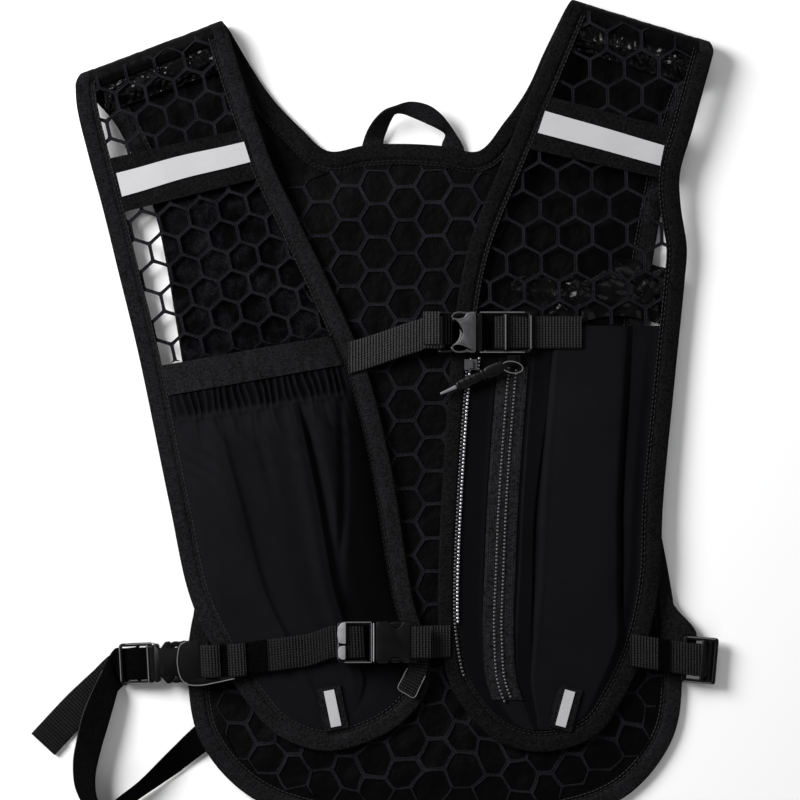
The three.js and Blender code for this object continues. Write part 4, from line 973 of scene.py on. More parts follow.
def finish(name):
    """The material of a finish, made once from the colours in the panel."""
    if name not in FINISHES:
        c = bpy.context.scene.vest_colours
        looks = {
            "net": (honeycomb_finish, c.net),
            "satin": (satin_finish, c.lining),
            "gauze": (gauze_finish, c.lining * 1.6),
            # Painted light: the linings are 3.2 times as light as the satin, to lift the shade they lie in under the
            # nets and the folds.
            "lining": (lining_finish, c.lining * 3.2),
            "cloth": (pouch_finish, c.cloth),
            "tape": (tape_finish, "binding_grosgrain", c.tape, 0.0017, 640.0),
            "dark_tape": (tape_finish, "binding_grosgrain_dark", c.tape * 0.62, 0.0017, 640.0, 0.03),
            "gritty": (tape_finish, "zip_tape_weave", c.tape * 1.4, 0.0014, 450.0),
            "elastic": (tape_finish, "elastic_knit", c.webbing * 0.85, 0.0012, 800.0),
            # Painted light: a lit copy of the webbing, 2.4 times as light, for the left chest strap and the fold at
            # the chest buckle.
            "painted_lit_webbing": (webbing_finish, "nylon_webbing_lit", c.webbing * 2.4, 0.09),
            # Painted shade: a copy of the webbing at 0.8, for the left waist strap and the free strap ends.
            "painted_shade_webbing": (webbing_finish, "nylon_webbing_waist", c.webbing * 0.8, 0.08),
            "webbing": (webbing_finish, "nylon_webbing", c.webbing, 0.09),
            # Painted shade: a copy of the webbing at 0.22, for the tuck under the fold at the chest buckle.
            "painted_deep_shade_webbing": (webbing_finish, "nylon_webbing_dull", c.webbing * 0.22, 0.03),
            # Painted shade: a near-black copy of the webbing, 0.14 as light, for the side loop and the layers laid on
            # the straps.
            "painted_black_shade_webbing": (tape_finish, "nylon_webbing_back", c.webbing * 0.14, 0.0012, 900.0, 0.01),
            "plastic": (plastic_finish, "acetal_black", 0.0013, 0.4, 0.16),
            # Painted reflection: the chest socket's light grey stands for light reflected off its glossy face.
            "painted_sheen_plastic": (plastic_finish, "acetal_sheen", 0.042, 0.36, 0.5),
            "matte_plastic": (plastic_finish, "acetal_matte", 0.0009, 0.6, 0.06),
            # Painted highlights: lighter plastic for thin lines along edges, on the buckles, the slider, the waist
            # strap's hem and the zip pull.
            "painted_highlight_plastic": (plastic_finish, "acetal_edge", 0.1, 0.4, 0.4),
            # Painted highlights: a still lighter plastic for the waist buckle's lobes and inner bar.
            "bright_painted_highlight_plastic": (plastic_finish, "acetal_pale", 0.22, 0.4, 0.5),
            # Painted highlight: light metal for one row of the inner zip, standing for the light along its teeth.
            "teeth": (metal_finish, "zip_teeth", 0.55, 0.22, 0.75),
            "coil": (metal_finish, "zip_coil", 0.075, 0.25, 0.4),
            "reflective": (reflective_finish, c.reflective),
            "thread": (thread_finish, "stitch_thread", 0.008),
            "piping": (thread_finish, "piping_thread", 0.017),
        }
        make, *values = looks[name]
        FINISHES[name] = make(*values)
    return FINISHES[name]


# Cloth pieces.


def honeycomb(pitch, row, turn, centre, bar, thick, line, limits=(), segments=4, bare=()):
    """An open net of rounded hexagons, inside a closed line, off the bare ones and on the right side of each limit.

    Each cell runs from the middle of its bars, where it meets its neighbours, to its rounded hole: the
    hole's radius is the hexagon's, less the bar, softly held under that of a circle. The bar's section is
    seven rings, from the sunken middle of its top over its raised edge to the middle of its underside.
    """
    j, i = np.meshgrid(np.arange(-30, 31), np.arange(-30, 31), indexing="ij")
    grid = np.stack([(i + 0.5 * (j % 2)) * pitch, j * row], -1).reshape(-1, 2)
    angle = math.radians(turn)
    spin = np.array([[math.cos(angle), math.sin(angle)], [-math.sin(angle), math.cos(angle)]])
    middles = grid @ spin + centre
    keep = inside(middles, line)
    for window in bare:
        keep &= ~inside(middles, window)
    for point, way in limits:
        keep &= (middles - point) @ np.asarray(way) > -0.3 * row
    middles = middles[keep]
    k = np.radians(90 + 60 * np.arange(7))
    corners = np.stack([pitch / math.sqrt(3) * np.cos(k), row / 1.5 * np.sin(k)], 1)
    t = np.arange(segments) / segments
    edge = (corners[:-1, None] * (1 - t)[:, None] + corners[1:, None] * t[:, None]).reshape(-1, 2)
    radius = np.linalg.norm(edge, axis=1, keepdims=True)
    inner = radius * (1 - bar / pitch)
    cap = 0.99 * inner.max()
    hole = edge / radius * (inner**-HOLE_ROUND + cap**-HOLE_ROUND) ** (-1 / HOLE_ROUND)
    cell = np.stack([lerp(edge, hole, share) for share, _ in NET_SECTION])
    flat = middles[:, None, None] + cell @ spin
    shape = flat.shape[:3]
    flat = flat.reshape(-1, 2)
    for point, way in limits:
        past = ((flat - point) @ np.asarray(way)).clip(max=0)
        flat = flat - past[:, None] * np.asarray(way)
    flat = kept_in(flat, line)
    height = np.array([high for _, high in NET_SECTION])[None, :, None]
    lift = np.broadcast_to(height, shape).reshape(-1) * thick / 2
    index = np.arange(len(flat)).reshape(shape)
    after = np.roll(index, -1, 2)
    quads = np.stack([index[:, :-1], after[:, :-1], after[:, 1:], index[:, 1:]], -1).reshape(-1, 4)
    neighbour = middles[:, None] + (corners[:-1] + corners[1:]) @ spin
    apart = np.linalg.norm(neighbour.reshape(-1, 1, 2) - middles[None], axis=2).min(1).reshape(-1, 6)
    free = np.repeat(apart > 1, segments, axis=1)
    walls = np.stack([index[:, 0], index[:, -1], after[:, -1], after[:, 0]], -1)[free]
    return flat, lift, np.vstack([quads, walls]).tolist()


def crumple(x, y, seed, size=1.0):
    """Creased cloth: the sharpened crests of four waves that cross each other, about 6 to 14 mm long at size 1."""
    height = np.zeros_like(x)
    x, y = x / size, y / size
    for k, (length, turn) in enumerate(((13.5, 0.4), (9.1, 1.5), (7.3, 2.3), (6.1, 0.9))):
        phase = 2 * np.pi / length * (x * math.cos(turn + seed) + y * math.sin(turn + seed)) + 1.7 * k + seed
        bend = 0.9 * np.sin(phase / 2.3 + 2.1 * k)
        height += (1 - np.abs(np.sin(phase / 2 + bend)) - 0.36) * length / 13.5
    return height


PAD_HUB = np.array([-8.0, -60.0])  # where the spokes of the padded back meet
PAD_ROWS, PAD_UNDER = 46, 6  # rings of the pad from its rim to its hub, and those that its underside has
NET_BARE = {"left": 34, "right": 48}  # above this y the back has no net under a front's own


def back_outline():
    """The padded back's closed edge: the armhole edge between its two seams, then the neck edge back again."""
    arm = BACK_LINES["arm"]
    first, last = (np.linalg.norm(arm - np.array(BACK_EDGE[k]), axis=1).argmin() for k in (0, -1))
    outline = np.vstack([arm[first:last + 1], curve(NECK_EDGE)[::-1]])
    return even(np.vstack([outline, outline[:1]]), 3.5)[:-1]


def drawn_in(outline, depth):
    """A closed outline moved inwards."""
    return inset(np.vstack([outline[-1:], outline, outline[:1]]), depth)[1:-1]


def pad_top(points, outline):
    """Top of the padded back: it swells away from its edge, with a broad ripple and creases, looser low down."""
    edge = np.linalg.norm(points - nearest(points, outline), axis=1)
    swell = 4.4 * smooth(edge, 5, 46) + 0.5 * smooth(edge, 9, 13)
    x, y = points.T
    ripple = np.sin(0.05 * x + 2) * np.sin(0.043 * y) * smooth(edge, 20, 60)
    loose = (0.35 + 0.75 * smooth(-y, 90, 180)) * smooth(edge, 13, 30)
    return 3.1 + swell + 0.5 * ripple - 0.5 * smooth(edge, 20, 60) + loose * crumple(x, y, 1.3, 2.3)


class VEST_OT_back(bpy.types.Operator):
    """Makes the padded back and the honeycomb net over it"""

    bl_idname = "vest.back"
    bl_label = "Padded back"

    def execute(self, context):
        outline = back_outline()
        self.pad(outline)
        self.net(outline, context.scene.vest_sizes.net_bar / MM)
        return {"FINISHED"}

    def pad(self, outline):
        """Rings drawn in from the rim to a hub, on the pad's top, and a few below that turn its edge under."""
        rim = drawn_in(outline, 2.8)
        share = 1 - np.linspace(0, 1, PAD_ROWS)[:-1] ** 1.3
        spokes = PAD_HUB + share[:, None, None] * (rim - PAD_HUB)
        top = pad_top(spokes.reshape(-1, 2), outline).reshape(spokes.shape[:2])
        above = np.concatenate([spokes, top[..., None]], -1)
        edge = np.linalg.norm(spokes[:PAD_UNDER] - outline, axis=2)
        below = np.concatenate([spokes[:PAD_UNDER], (1.2 * (1 - smooth(edge, 9, 13)))[..., None]], -1)
        obj = piece("back_pad", loft(np.concatenate([below[::-1], above])), "satin", ["back_panel"])

    def net(self, outline, bar):
        """The net on the pad's top, warped by crossing waves, most near the lower edge, and bare under the fronts."""
        line = drawn_in(outline, STRIP)
        windows = [(inset(FRONTS[side], 11), low) for side, low in NET_BARE.items()]
        bare = [window[window[:, 1] > low] for window, low in windows]
        flat, lift, faces = honeycomb(*NETS["back"], 1.12 * bar, 1.0, line, segments=3, bare=bare)
        x, y = flat.T
        warp = np.stack([
            1.5 * np.sin(0.083 * y + 0.05 * x) + 0.9 * np.sin(0.21 * x + 0.13 * y),
            1.4 * np.sin(0.077 * x + 1) + 0.9 * np.sin(0.19 * y - 0.11 * x),
        ], 1)
        flat = kept_in(flat + warp * (0.3 + smooth(-y, 90, 190))[:, None], line)
        place = np.column_stack([flat, pad_top(flat, outline) + 0.3 + lift])
        net = piece("back_honeycomb", (place, faces, flat), "net", merge=0.02, sharp=70)


def yoke_grid(side):
    """The yoke's middle surface, ruled from its armhole edge to its neck edge, rows from front to back."""
    rows = []
    for edge in ("arm", "neck"):
        arc = fold_arc(side, edge)[0][::-1]
        control = np.array([arc[-1, :2], *YOKES[side][edge][1:-1][::-1], YOKES[side][edge][0]], float)
        line = curve(control, 8)
        line = np.vstack([line, line[-1] + 4.2 * unit(line[-1] - line[-2])])
        rows.append(np.vstack([arc, np.column_stack([line[1:], np.full(len(line) - 1, BACK_MID)])]))
    arm, neck = rows
    width = np.linalg.norm(neck - arm, axis=1)
    share = lerp(3.0 / width[:, None], 1 - 3.0 / width[:, None], np.linspace(0, 1, 97)[None])
    return arm[:, None] + share[..., None] * (neck - arm)[:, None]


class VEST_OT_yokes(bpy.types.Operator):
    """Makes the cloth of both yokes, which goes round the shoulder folds, and the creased layers under the nets"""

    bl_idname = "vest.yokes"
    bl_label = "Yokes"

    def execute(self, context):
        for side, seed in (("left", 0.6), ("right", 2.2)):
            self.fold_lining(side, self.yoke(side, seed), seed)
        self.gauze()
        self.mouth_lining()
        return {"FINISHED"}

    def yoke(self, side, seed):
        """A yoke's ruled cloth, raised and creased where it goes round the fold; returns its seam on the front."""
        grid = yoke_grid(side)
        down = lengths(grid.mean(1))
        evenly = np.linspace(0, down[-1], 90)
        grid = np.stack([picked(column, down, evenly) for column in grid.transpose(1, 0, 2)], 1)
        seam = grid[0].copy()
        edge = np.sin(np.pi * np.linspace(0, 1, grid.shape[1])[None]) ** 0.4
        raised = smooth(evenly, 0, 4)[:, None] * (1 - smooth(evenly, 22, 40)[:, None])
        creases = crumple(grid[..., 0], grid[..., 1] + grid[..., 2], seed) * edge * raised
        square = normals(grid)
        square *= np.sign(square[0, :, 2].mean())
        grid += square * (FOLD_LIFT * raised + 0.22 * creases)[..., None]
        obj = piece(f"{side}_yoke_cloth", shell(grid, 1.0), "satin", [f"{side}_yoke"])
        declare_sheet(grid)
        return seam

    def layer(self, name, grid, thick, look, below):
        """A loose layer of cloth, as its grid lies; the name of the piece under it is passed but not used."""
        obj = piece(name, shell(grid[::-1], thick), look)
        declare_sheet(grid)

    def fold_lining(self, side, seam, seed):
        """The loose lining below the fold: it hangs from the seam under the net, creased, and turns down."""
        arm, neck = (np.append(FRONT_WAYS[side][edge], 0) for edge in ("arm", "neck"))
        share = np.linspace(*((0.16, 0.97) if side == "left" else (0.03, 0.9)), 110)
        start = picked(seam, np.arange(len(seam)), share * (len(seam) - 1))
        gone = np.linspace(0, 17, 34)[:, None]
        grid = start + gone[..., None] * lerp(arm, neck, share[:, None])
        fall = 1.5 + 6 * smooth(gone, 8, 18)
        grid[..., 2] += 1.2 * crumple(grid[..., 0], grid[..., 1], seed, 0.85) * smooth(gone, 0, 3) - fall
        self.layer(f"{side}_fold_lining", grid, 0.5, "lining", f"{side}_yoke_cloth")

    def gauze(self):
        """The crumpled layer under the left net, from the back's edge to the front's inner binding."""
        share, y = np.meshgrid(np.linspace(0, 1, 100), np.linspace(30, 146, 96))
        edge, inner = BACK_SIDES["left"], front_sides("left", 8)[1]
        x = lerp(np.interp(y, edge[:, 1], edge[:, 0]) + 1.5, inner(y), share)
        grid = np.stack([x, y, front_height("left", x, y) - 2.6 + 0.9 * crumple(x, y, 2.0, 1.5)], -1)
        self.layer("left_net_gauze", grid, 0.4, "gauze", "back_pad")

    def mouth_lining(self):
        """The lining that shows through the right net above the pocket's mouth, and sinks towards the shoulder."""
        x, y = np.meshgrid(np.linspace(46, 146, 90), np.linspace(56, 92, 34))
        y = y + 4 * np.sin(0.07 * x)
        height = 1.6 * crumple(x, y, 3.1, 1.5) - 1.9 - 4.5 * smooth(y, 78, 94)
        grid = np.stack([x, y, front_height("right", x, y) + height], -1)
        self.layer("right_mouth_lining", grid, 0.5, "lining", "back_pad")


class VEST_OT_nets(bpy.types.Operator):
    """Makes the open honeycomb nets of both fronts"""

    bl_idname = "vest.nets"
    bl_label = "Front nets"

    def execute(self, context):
        bar = context.scene.vest_sizes.net_bar / MM
        for side, size, below in (("left", (0.1, 0.205), "left_net_gauze"), ("right", (0.12, 0.195), "back_pad")):
            line = inset(even(FRONTS[side], 4.0), 3.4)
            x_end, y_end, slope = NET_ENDS[side]
            up = unit(np.array([-slope, 1.0]))
            first, last = line[0], line[-1]
            seam = way_from(first, last)
            inward = np.array([seam[1], -seam[0]])
            limits = [(np.array([x_end, y_end + 0.4]), up), (first + inward * 1.3, inward)]
            flat, lift, faces = honeycomb(*NETS[side], bar, CLOTH, line, limits)
            gone = (flat - first) @ inward
            sunk = FOLD_RADIUS * (1 - np.sqrt(1 - (1 - np.clip(gone / FOLD_RADIUS, 0, 1)) ** 2))
            over = (FOLD_LIFT + 0.8) * (1 - smooth(gone, FOLD_SEAM - 2, FOLD_SEAM + 5))
            place = np.column_stack([flat, front_height(side, *flat.T) + lift - sunk + over])
            net = piece(f"{side}_front_honeycomb", (place, faces, flat), "net", [f"{side}_net"],
                        merge=0.02, sharp=70)
        return {"FINISHED"}


def tape_profile(cloth, ease):
    """Section of a folded binding, as depth from its edge and lift.

    It has a rounded fold, two flat sides, the slot that holds the cloth, and on one side a thinner strip stitched
    beside it.
    """
    slot = cloth / 2 + GAP + ease
    face = slot + 0.8
    t = np.radians(np.linspace(-90, 90, 9))
    fold = np.column_stack([1.3 * (1 - np.cos(t)), (face - 1.3) * np.sign(t) + 1.3 * np.sin(t)])
    top = [(3.2, face + 0.1), (5.4, face + 0.16), (7.6, face + 0.08), (8.9, face - 0.1), (9.4, face - 0.5)]
    side = [
        (9.7, face - 0.75), (10.9, face - 0.62), (11.9, face - 0.72), (12.2, face - 0.34), (12.6, face - 0.2),
        (12.95, face - 0.4), (STRIP + 0.05, face - 0.8), (STRIP - 0.2, slot - 0.2),
    ]
    ends = [(9.5, slot), (2.0, slot), (2.0, -slot), (9.5, -slot), (9.5, -face + 0.4), (9, -face)]
    return np.array([*fold, *top, *side, *ends])


def stitches(points, up, pitch):
    """A row of stitches: each a small spindle laid along the row."""
    gone = lengths(points)
    at = np.arange(pitch / 2, gone[-1], pitch)
    t = np.linspace(-1, 1, 5)
    wide = 0.4 * np.sqrt(1.02 - t**2)
    ring = np.array([(0, -1), (1, 0), (0, 1), (-1, 0)])
    base = np.column_stack([np.repeat(0.36 * pitch * t, 4), (wide[:, None, None] * ring).reshape(-1, 2)])
    way, high = unit(picked(ways(points), gone, at)), unit(picked(up, gone, at))
    return copies(base, stack_faces(len(t)), picked(points, gone, at), way, unit(np.cross(high, way)), high)


class VEST_OT_bindings(bpy.types.Operator):
    """Makes the folded bindings round the fronts, the back and the neck, with their stitching"""

    bl_idname = "vest.bindings"
    bl_label = "Bindings"

    def execute(self, context):
        pitch = context.scene.vest_sizes.stitch / MM
        for name, (points, normal, inward), cloth, ease, look in (
            ("left_front", front_path("left"), CLOTH, 0.35, "tape"),
            ("right_front", front_path("right"), CLOTH, 0.35, "dark_tape"),
            ("back_edge", back_path("arm"), YOKE_CLOTH, 0, "tape"),
            ("neck", back_path("neck"), YOKE_CLOTH, 0, "dark_tape"),
        ):
            outward = normal if "front" in name else -normal
            depth, lift = tape_profile(cloth, ease).T
            gone = lengths(points)
            pucker = np.sin(0.93 * gone + 1.3 * np.sin(0.21 * gone)) * (0.6 + 0.4 * np.sin(0.057 * gone))
            swell = 1 + 0.1 * pucker[:, None] * smooth(depth, 2, 6) * (1 - smooth(depth, 8.6, 9.4))
            rings = points[:, None] + inward[:, None] * depth[:, None]
            rings += outward[:, None] * (lift * swell)[..., None]
            piece(f"{name}_tape", loft(rings), look, [f"{name}_binding"], sharp=60)
            face = cloth / 2 + GAP + ease + 0.8
            row = points + inward * 12.65 + outward * (face - 0.15)
            thread = "thread" if look == "dark_tape" else "piping"
            piece(f"{name}_piping", stitches(row, outward, 0.8 * pitch), thread)
            row = points + inward * 10.9 + outward * (face - 0.5)
            piece(f"{name}_stitching", stitches(row, outward, pitch), "thread")
        return {"FINISHED"}


class VEST_OT_pouches(bpy.types.Operator):
    """Makes the cloth behind the pockets, both pockets, and the ribbed elastic at the left one's mouth"""

    bl_idname = "vest.pouches"
    bl_label = "Pockets"

    def execute(self, context):
        for side, (drop, rise) in POUCHES.items():
            x, y, a, s = front_grid(side, 40, 60, 3.2, 0.2, -207)
            base = np.stack([x, y, front_height(side, x, y)], -1)
            # The cloth behind the pockets takes an even 0.6; each pouch takes its painted shade.
            cloth = piece(f"{side}_base_cloth", shell(base, CLOTH - 0.2), "cloth",
                          [f"{side}_front_base"], tone_and_shade=np.full(2 * a.size, 0.6))
            declare_sheet(base)
            x, y, a, s = front_grid(side, 241, 171, STRIP - 0.3, drop, POUCH_END)
            grid = np.stack([x, y, front_height(side, x, y) + ON_FRONT + rise(a, s) + 0.5], -1)
            pouch = piece(f"{side}_pouch", shell(grid, 1.0, UP), "cloth",
                          [f"{side}_pocket"], tone_and_shade=np.tile(pouch_tone_and_shade(side, a, s).ravel(), 2))
            declare_sheet(grid)
        self.elastic()
        return {"FINISHED"}

    def elastic(self):
        """The band lies over the pocket's mouth: a flat curve that follows the dome, drawn into waves below."""
        x_end, y_end, slope = NET_ENDS["left"]
        a, t = shares(161, 15)
        x, y = across_front("left", STRIP - 0.3, a, lambda x: y_end - 0.3 - 19.4 * t + slope * (x - x_end))
        swell = 7.5 * np.sin(np.pi * a) ** 0.6
        drawn = 0.35 * np.sin(2 * np.pi * 12.5 * a + np.sin(31 * a)) * smooth(t, 0.3, 1)
        z = front_height("left", x, y) + ON_FRONT + swell + drawn + 0.9
        grid = np.stack([x, y, z], -1)
        piece("left_pouch_elastic", shell(grid, 1.4, UP), "elastic", ["left_pocket_band"])


def patch(corners, columns, rows, height):
    """A sheet between four corners, laid on a height that depends on the place."""
    a, b, c, d = (np.array(p, float) for p in corners)
    s, t = (share[..., None] for share in shares(columns, rows))
    flat = lerp(lerp(a, b, s), lerp(c, d, s), t)
    return np.concatenate([flat, height(flat[..., 0], flat[..., 1])[..., None]], -1)


class VEST_OT_trim(bpy.types.Operator):
    """Makes the shoulder tapes, the tabs on the pockets, their reflective strips, and the side wings"""

    bl_idname = "vest.trim"
    bl_label = "Tapes and reflective strips"

    def execute(self, context):
        for side in ("left", "right"):
            tape, strip = SHOULDER_TRIM[side]

            def on_net(x, y):  # just above a front's net
                return front_height(side, x, y) + ON_FRONT + 0.4

            grid = patch(tape, 60, 24, on_net)
            piece(f"{side}_shoulder_band", shell(grid, 0.8, UP), "dark_tape", [f"{side}_shoulder_tape"])
            grid = patch(strip, 60, 12, lambda x, y: on_net(x, y) + 1.05)
            grid[..., 1] += np.sin(np.linspace(0, np.pi, 60))[None] ** 3 * (0.9 if side == "left" else 0.2)
            nodes = [f"{side}_shoulder_reflector"]
            piece(f"{side}_shoulder_strip", shell(grid, 0.5, UP), "reflective", nodes)
            for name, size, columns, lift, thick, slot, node in (
                ("end_tab", (15, 27), 20, 1.0, 0.8, "tape", "tab"),
                ("end_strip", (6.5, 23), 10, 1.9, 0.5, "reflective", "tab_reflector"),
            ):
                corners = self.tab_corners(side, *size)
                grid = patch(corners, columns, 30, lambda x, y: pouch_top(side, x, y) + lift)
                piece(f"{side}_{name}", shell(grid, thick, UP), slot, [f"{side}_{node}"])
            edge = even(np.vstack([curve(WINGS[side], 6), WINGS[side][0]]), 2.0)[:-1]
            hub = edge.mean(0)
            rings = np.stack([
                np.column_stack([lerp(hub, edge, share), np.full(len(edge), z)])
                for share, z in ((0.96, 4.8), (1, 5.1), (1, 5.6), (0.97, 5.95), (0.5, 6.0))
            ])
            piece(f"{side}_wing_cloth", loft(rings), "tape", [f"{side}_wing"])
        return {"FINISHED"}

    def tab_corners(self, side, width, length):
        """Corners of a rectangle at a tab's place, turned as the tab is."""
        x, y, turn = END_TABS[side]
        c, s = math.cos(math.radians(turn)) / 2, math.sin(math.radians(turn)) / 2
        ends = [(-width, length), (width, length), (-width, -length), (width, -length)]
        return [(x + i * c - j * s, y + i * s + j * c) for i, j in ends]


def buckle_place(name, points):
    """Points in a buckle's own frame, brought to its place."""
    _, _, place, turn, tip = BUCKLES[name]
    return turned(points, place, turn, tip)


def turned(points, place, turn, tip=0):
    """Points tipped about Y, turned about Z and moved to a place."""
    b, g = math.radians(tip), math.radians(turn)
    tilt = np.array([[math.cos(b), 0, math.sin(b)], [0, 1, 0], [-math.sin(b), 0, math.cos(b)]])
    spin = np.array([[math.cos(g), -math.sin(g), 0], [math.sin(g), math.cos(g), 0], [0, 0, 1]])
    return np.asarray(points, float) @ (spin @ tilt).T + np.array(place, float)


def ladder_places(name):
    """Where a plug's base starts, where the bar across its ladder is, and where the ladder ends."""
    socket, ladder = BUCKLES[name][:2]
    base = socket + GAP
    rails = base + 5.5
    return {"base": base, "middle": rails + 0.42 * ladder, "end": rails + ladder}


def bar_wrap(name):
    """Webbing from under a socket's bar, round it and back over it."""
    return buckle_place(name, [(x, 0, z) for x, z in BAR_WRAP])[::-1]


def ladder_web(name, y=0.0):
    """Webbing from the end of a ladder, over the bar in its middle and down behind it."""
    places = ladder_places(name)
    return buckle_place(name, [(places[start] + x, y, z) for start, x, z in LADDER_WEB])


class VEST_OT_straps(bpy.types.Operator):
    """Makes the webbing of the chest, waist and side straps, its folded layers and free ends, and the grab loop"""

    bl_idname = "vest.straps"
    bl_label = "Straps"

    def execute(self, context):
        width = context.scene.vest_sizes.webbing / MM
        x, y = np.array(WAIST_LEFT, float).T
        over_pouch = np.column_stack([x, y, pouch_top("left", x, y) + 4 * GAP + WEB / 2])
        turn = math.radians(BUCKLES["side"][3])
        side_across = (-math.sin(turn), math.cos(turn), 0)
        level = (0, 1, 0)
        slider = turned([(px, 0, pz) for px, pz in SLIDER_WRAP], *SLIDER)
        runs = {
            "chest_web_left": ([*CHEST_LEFT, *bar_wrap("chest")], level, "chest_strap_left"),
            "chest_web_right": ([*CHEST_RIGHT, *ladder_web("chest")], level, "chest_strap_right"),
            "waist_web_left": (
                [*bar_wrap("side"), *over_pouch, *ladder_web("waist")], side_across, "waist_strap_left"),
            "waist_web_right": ([*WAIST_RIGHT, *bar_wrap("waist")], level, "waist_strap_right"),
            "side_web_right": ([*SIDE_RIGHT, *slider], level, "side_strap_right"),
        }
        for name, (points, across, node) in runs.items():
            shape = ribbon(points, width, WEB, across, step=0.9)
            # Painted light and shade: the left chest strap takes the lit copy of the webbing, the left waist strap the
            # shaded copy.
            look = {"chest_web_left": "painted_lit_webbing", "waist_web_left": "painted_shade_webbing"}.get(name, "webbing")
            piece(name, shape, look, [node])
        for name, rows, wide, node in (
            ("waist_web_end", WAIST_TAIL, 12.5, "waist_strap_tail"),
            ("side_web_end", SIDE_TAIL, width, "side_strap_left_tail"),
        ):
            line = even(curve(rows), 1.0)
            hem = line[-11:] + (0, 0, WEB * 0.9)
            shape = joined(ribbon(rows, wide, WEB), ribbon(hem, wide * 0.985, WEB * 0.8))
            # Painted shade: the free ends take the shaded copy of the webbing.
            piece(name, shape, "painted_shade_webbing", [node])
        waist = even(curve(runs["waist_web_left"][0]), 0.9)
        waist = waist[waist[:, 2] > 13.2]
        right = even(curve(runs["side_web_right"][0]), 0.9)
        # Painted shade: near-black layers laid on the waist and side straps, between and beyond their folded layers.
        for name, line, low, high, lift, across, look in (
            ("waist_web_backing", waist, -142, -102.8, 1.0, side_across, "painted_black_shade_webbing"),
            ("waist_web_keeper", waist, -146, -134, 2.2, side_across, "webbing"),
            ("waist_web_cuff", waist, -130.2, -117.5, 2.2, side_across, "webbing"),
            ("side_web_backing", right, 137.5, 147.5, 1.0, level, "painted_black_shade_webbing"),
        ):
            run = line[(line[:, 0] > low) & (line[:, 0] < high)] + (0, 0, lift)
            if look == "webbing":
                run[:, 2] += 1.6 * np.sin(np.pi * (run[:, 0] - low) / (high - low))
            piece(name, ribbon(run[::4], width + 0.4, 1.2, across), look)
        x, y, z = BUCKLES["chest"][2]
        fold = [(x - 8.6, y + 2.6, z + 7.5), (x - 4, y + 2.6, z + 8.4), (x + 1.2, y + 2.6, z + 7.9)]
        tuck = [(x - 2, y + 1.7, z + 5.6), (x + 4, y + 1.7, z + 5.6), (x + 9, y + 1.7, z + 4.6)]
        # Painted light: the fold at the chest buckle takes the lit copy of the webbing.
        piece("chest_web_fold", ribbon(fold, width + 0.6, WEB, level), "painted_lit_webbing")
        # Painted shade: the tuck under the fold takes a dark copy of the webbing.
        piece("chest_web_tuck", ribbon(tuck, width - 1, WEB, level), "painted_deep_shade_webbing")
        # Painted highlight: a light rod along the hem of the waist strap's end.
        rim = [(*place, 16.4, 0.55, 0.6) for place in WAIST_HEM]
        piece("waist_web_rim", rod(rim), "painted_highlight_plastic")
        # Painted highlight: a lighter rod along the side loop's outer edge.
        rim = [(*row[:2], row[2] + 0.5, 0.9, 0.8) for row in SIDE_LOOP[:-2]]
        piece("side_web_rim", rod(rim), "piping")
        # Painted shade: the side loop takes the near-black copy of the webbing.
        edges = np.hstack([ladder_web("side", half)[::-1] for half in (-width / 2, width / 2)])
        piece("side_web_loop", edged_band(np.vstack([edges, SIDE_LOOP]), WEB), "painted_black_shade_webbing",
              ["side_strap_left"])
        piece("neck_grab_loop", edged_band(GRAB_LOOP, WEB), "elastic", ["grab_loop"])
        return {"FINISHED"}


def mirrored(corners):
    """Corners below the middle line, from left to right, closed by their mirror image above it."""
    return [*corners, *[(x, -y) for x, y in corners[::-1]]]


def lens(x, y, half, wide):
    """A closed outline with two points and full sides: the sine is flattened by its own fourth root."""
    t = np.linspace(0, 2 * np.pi, 40, endpoint=False)
    return np.stack([x + half * np.cos(t), y + wide * np.sin(t) * np.abs(np.sin(t)) ** 0.25], 1)


